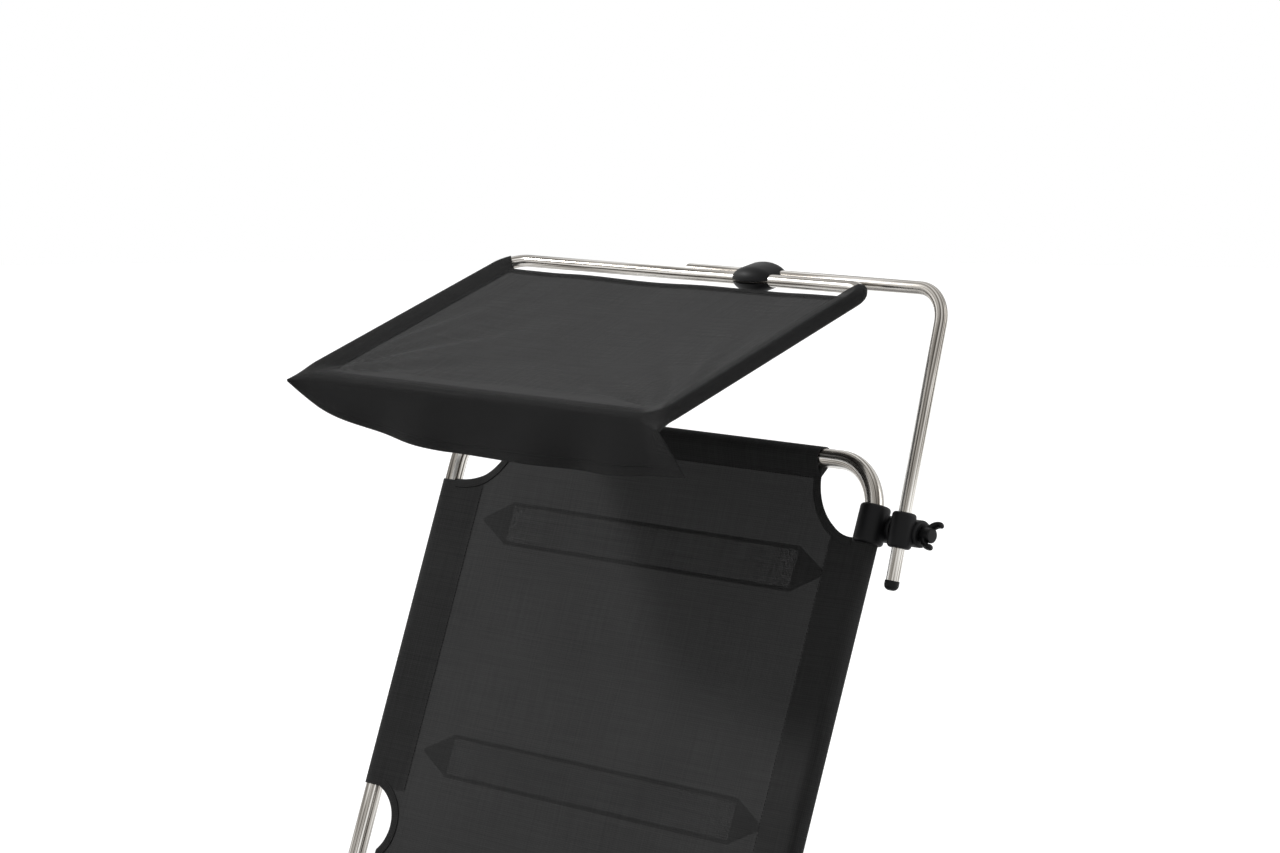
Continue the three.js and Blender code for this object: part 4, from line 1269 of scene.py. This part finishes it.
rear_hem = [
    [(on_canopy(side, -rear_edge - inset, -hem_lift), (side, inset)) for inset in rear_hem_insets]
    for side in columns
]
canopy = cloth_from("canopy_cloth_sewn", [field, over, *unders, valance, hem, rear_hem], canopy_gauge)
place_and_finish(canopy, "canopy", canopy_weave, ["canopy_cloth"])
facing = []
for side, back, out, on, reach, inner, inner_back in front_line:
    row = []
    for step in range(15):
        turn = radians(12 - 212 * step / 14)
        row.append((side, back - facing_radius * cos(turn), facing_radius * sin(turn)))
    row += [(side, back + behind, lift) for behind, lift in facing_lip]
    facing.append(placed(row, [(side, facing_pitch * step) for step in range(len(row))]))
front_facing = cloth_from("canopy_front_facing", [facing], canopy_gauge)
place_and_finish(front_facing, "canopy", canopy_weave)
normal = canopy_place.to_3x3() @ Vector((0, 0, 1))
seams = []
for side in (-canopy_seam, canopy_seam):
    backs = [-side_seam_start - side_seam_length * step / 24 for step in range(25)]
    seams.append([(on_canopy(side, back, seam_lift), normal) for back in backs])
seams.append([(on_canopy(side, -rear_edge - rear_seam_inset, seam_lift), normal) for side in columns])
outward = canopy_place.to_3x3() @ Vector((0, -cos(valance_lean), sin(valance_lean)))
seams.append([
    (canopy_place @ Vector(valance_spot(row[-1], 0.82, seam_lift)), outward)
    for row in tops[tip_left + 4:tip_right - 1]
])
stitching = sew("canopy_stitching", seams)
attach(stitching, "canopy")

# Floor and light
# A pale floor that takes the shadow. A small lamp high on the left of the picture draws
# the shadows, a broad weaker one on the right fills them, and the surround is even white.


def seen_rays(tree):
    """1 for rays from the camera, from gloss and through glass, and 0 for all others."""
    rays = add_node(tree, "ShaderNodeLightPath")
    seen = rays["Is Camera Ray"]
    for kind in ("Is Glossy Ray", "Is Transmission Ray"):
        either = {0: seen, 1: rays[kind]}
        seen = add_node(tree, "ShaderNodeMath", {"operation": "MAXIMUM"}, either)[0]
    return seen


bpy.ops.mesh.primitive_circle_add(vertices=96, radius=14, fill_type="NGON")
floor = bpy.context.object
floor.name = "floor"
floor_paint, tree, shader = new_finish("pale_floor", {"Base Color": linear("#a6a6a6"), "Roughness": 0.8})
# Seen from the camera the floor also glows, which gives the white background. The glow's fade is painted
# light: weaker within 1 m of the middle and full white past 2.6 m, so the floor is greyer round the lounger.
spot = add_node(tree, "ShaderNodeTexCoord")["Object"]
away = add_node(tree, "ShaderNodeVectorMath", {"operation": "LENGTH"}, {0: spot})["Value"]
painted_glow_fading = {"From Min": 1.0, "From Max": 2.6, "To Min": 0.60, "To Max": 1.0}
painted_glow_level = add_node(tree, "ShaderNodeMapRange", painted_glow_fading, {"Value": away})["Result"]
share = add_node(tree, "ShaderNodeMath", {"operation": "MULTIPLY"}, {0: seen_rays(tree), 1: painted_glow_level})
painted_floor_glow = add_node(tree, "ShaderNodeEmission", {"Color": (1, 1, 1, 1)}, {"Strength": share[0]})
mixed = add_node(tree, "ShaderNodeAddShader", {}, {0: shader.outputs[0], 1: painted_floor_glow[0]})
feed(tree.nodes["Material Output"], {"Surface": mixed[0]})
floor.data.materials.append(floor_paint)

for name, place, aim, size, power in (
    ("key_lamp", (-2.72, -0.85, 2.83), (0, 0.5, 0.9), 0.4, 47),
    ("fill_lamp", (2.4, 2.6, 1.8), (0, 0.3, 0.6), 2.0, 20),
):
    lamp = bpy.data.lights.new(name, "AREA")
    lamp.size = size
    lamp.energy = power
    holder = bpy.data.objects.new(name, lamp)
    holder.location = place
    holder.rotation_euler = (Vector(aim) - Vector(place)).to_track_quat("-Z", "Y").to_euler()
    bpy.context.scene.collection.objects.link(holder)

surround = bpy.data.worlds.new("surround")
surround.use_nodes = True
bpy.context.scene.world = surround
tree = surround.node_tree
plain = add_node(tree, "ShaderNodeBackground", {"Color": (1, 1, 1, 1), "Strength": 0.27})
white = add_node(tree, "ShaderNodeBackground", {"Color": (1, 1, 1, 1), "Strength": 1})
mixing = {0: seen_rays(tree), 1: plain[0], 2: white[0]}
mixed = add_node(tree, "ShaderNodeMixShader", {}, mixing)
feed(tree.nodes["World Output"], {"Surface": mixed[0]})

bpy.context.view_layer.update()
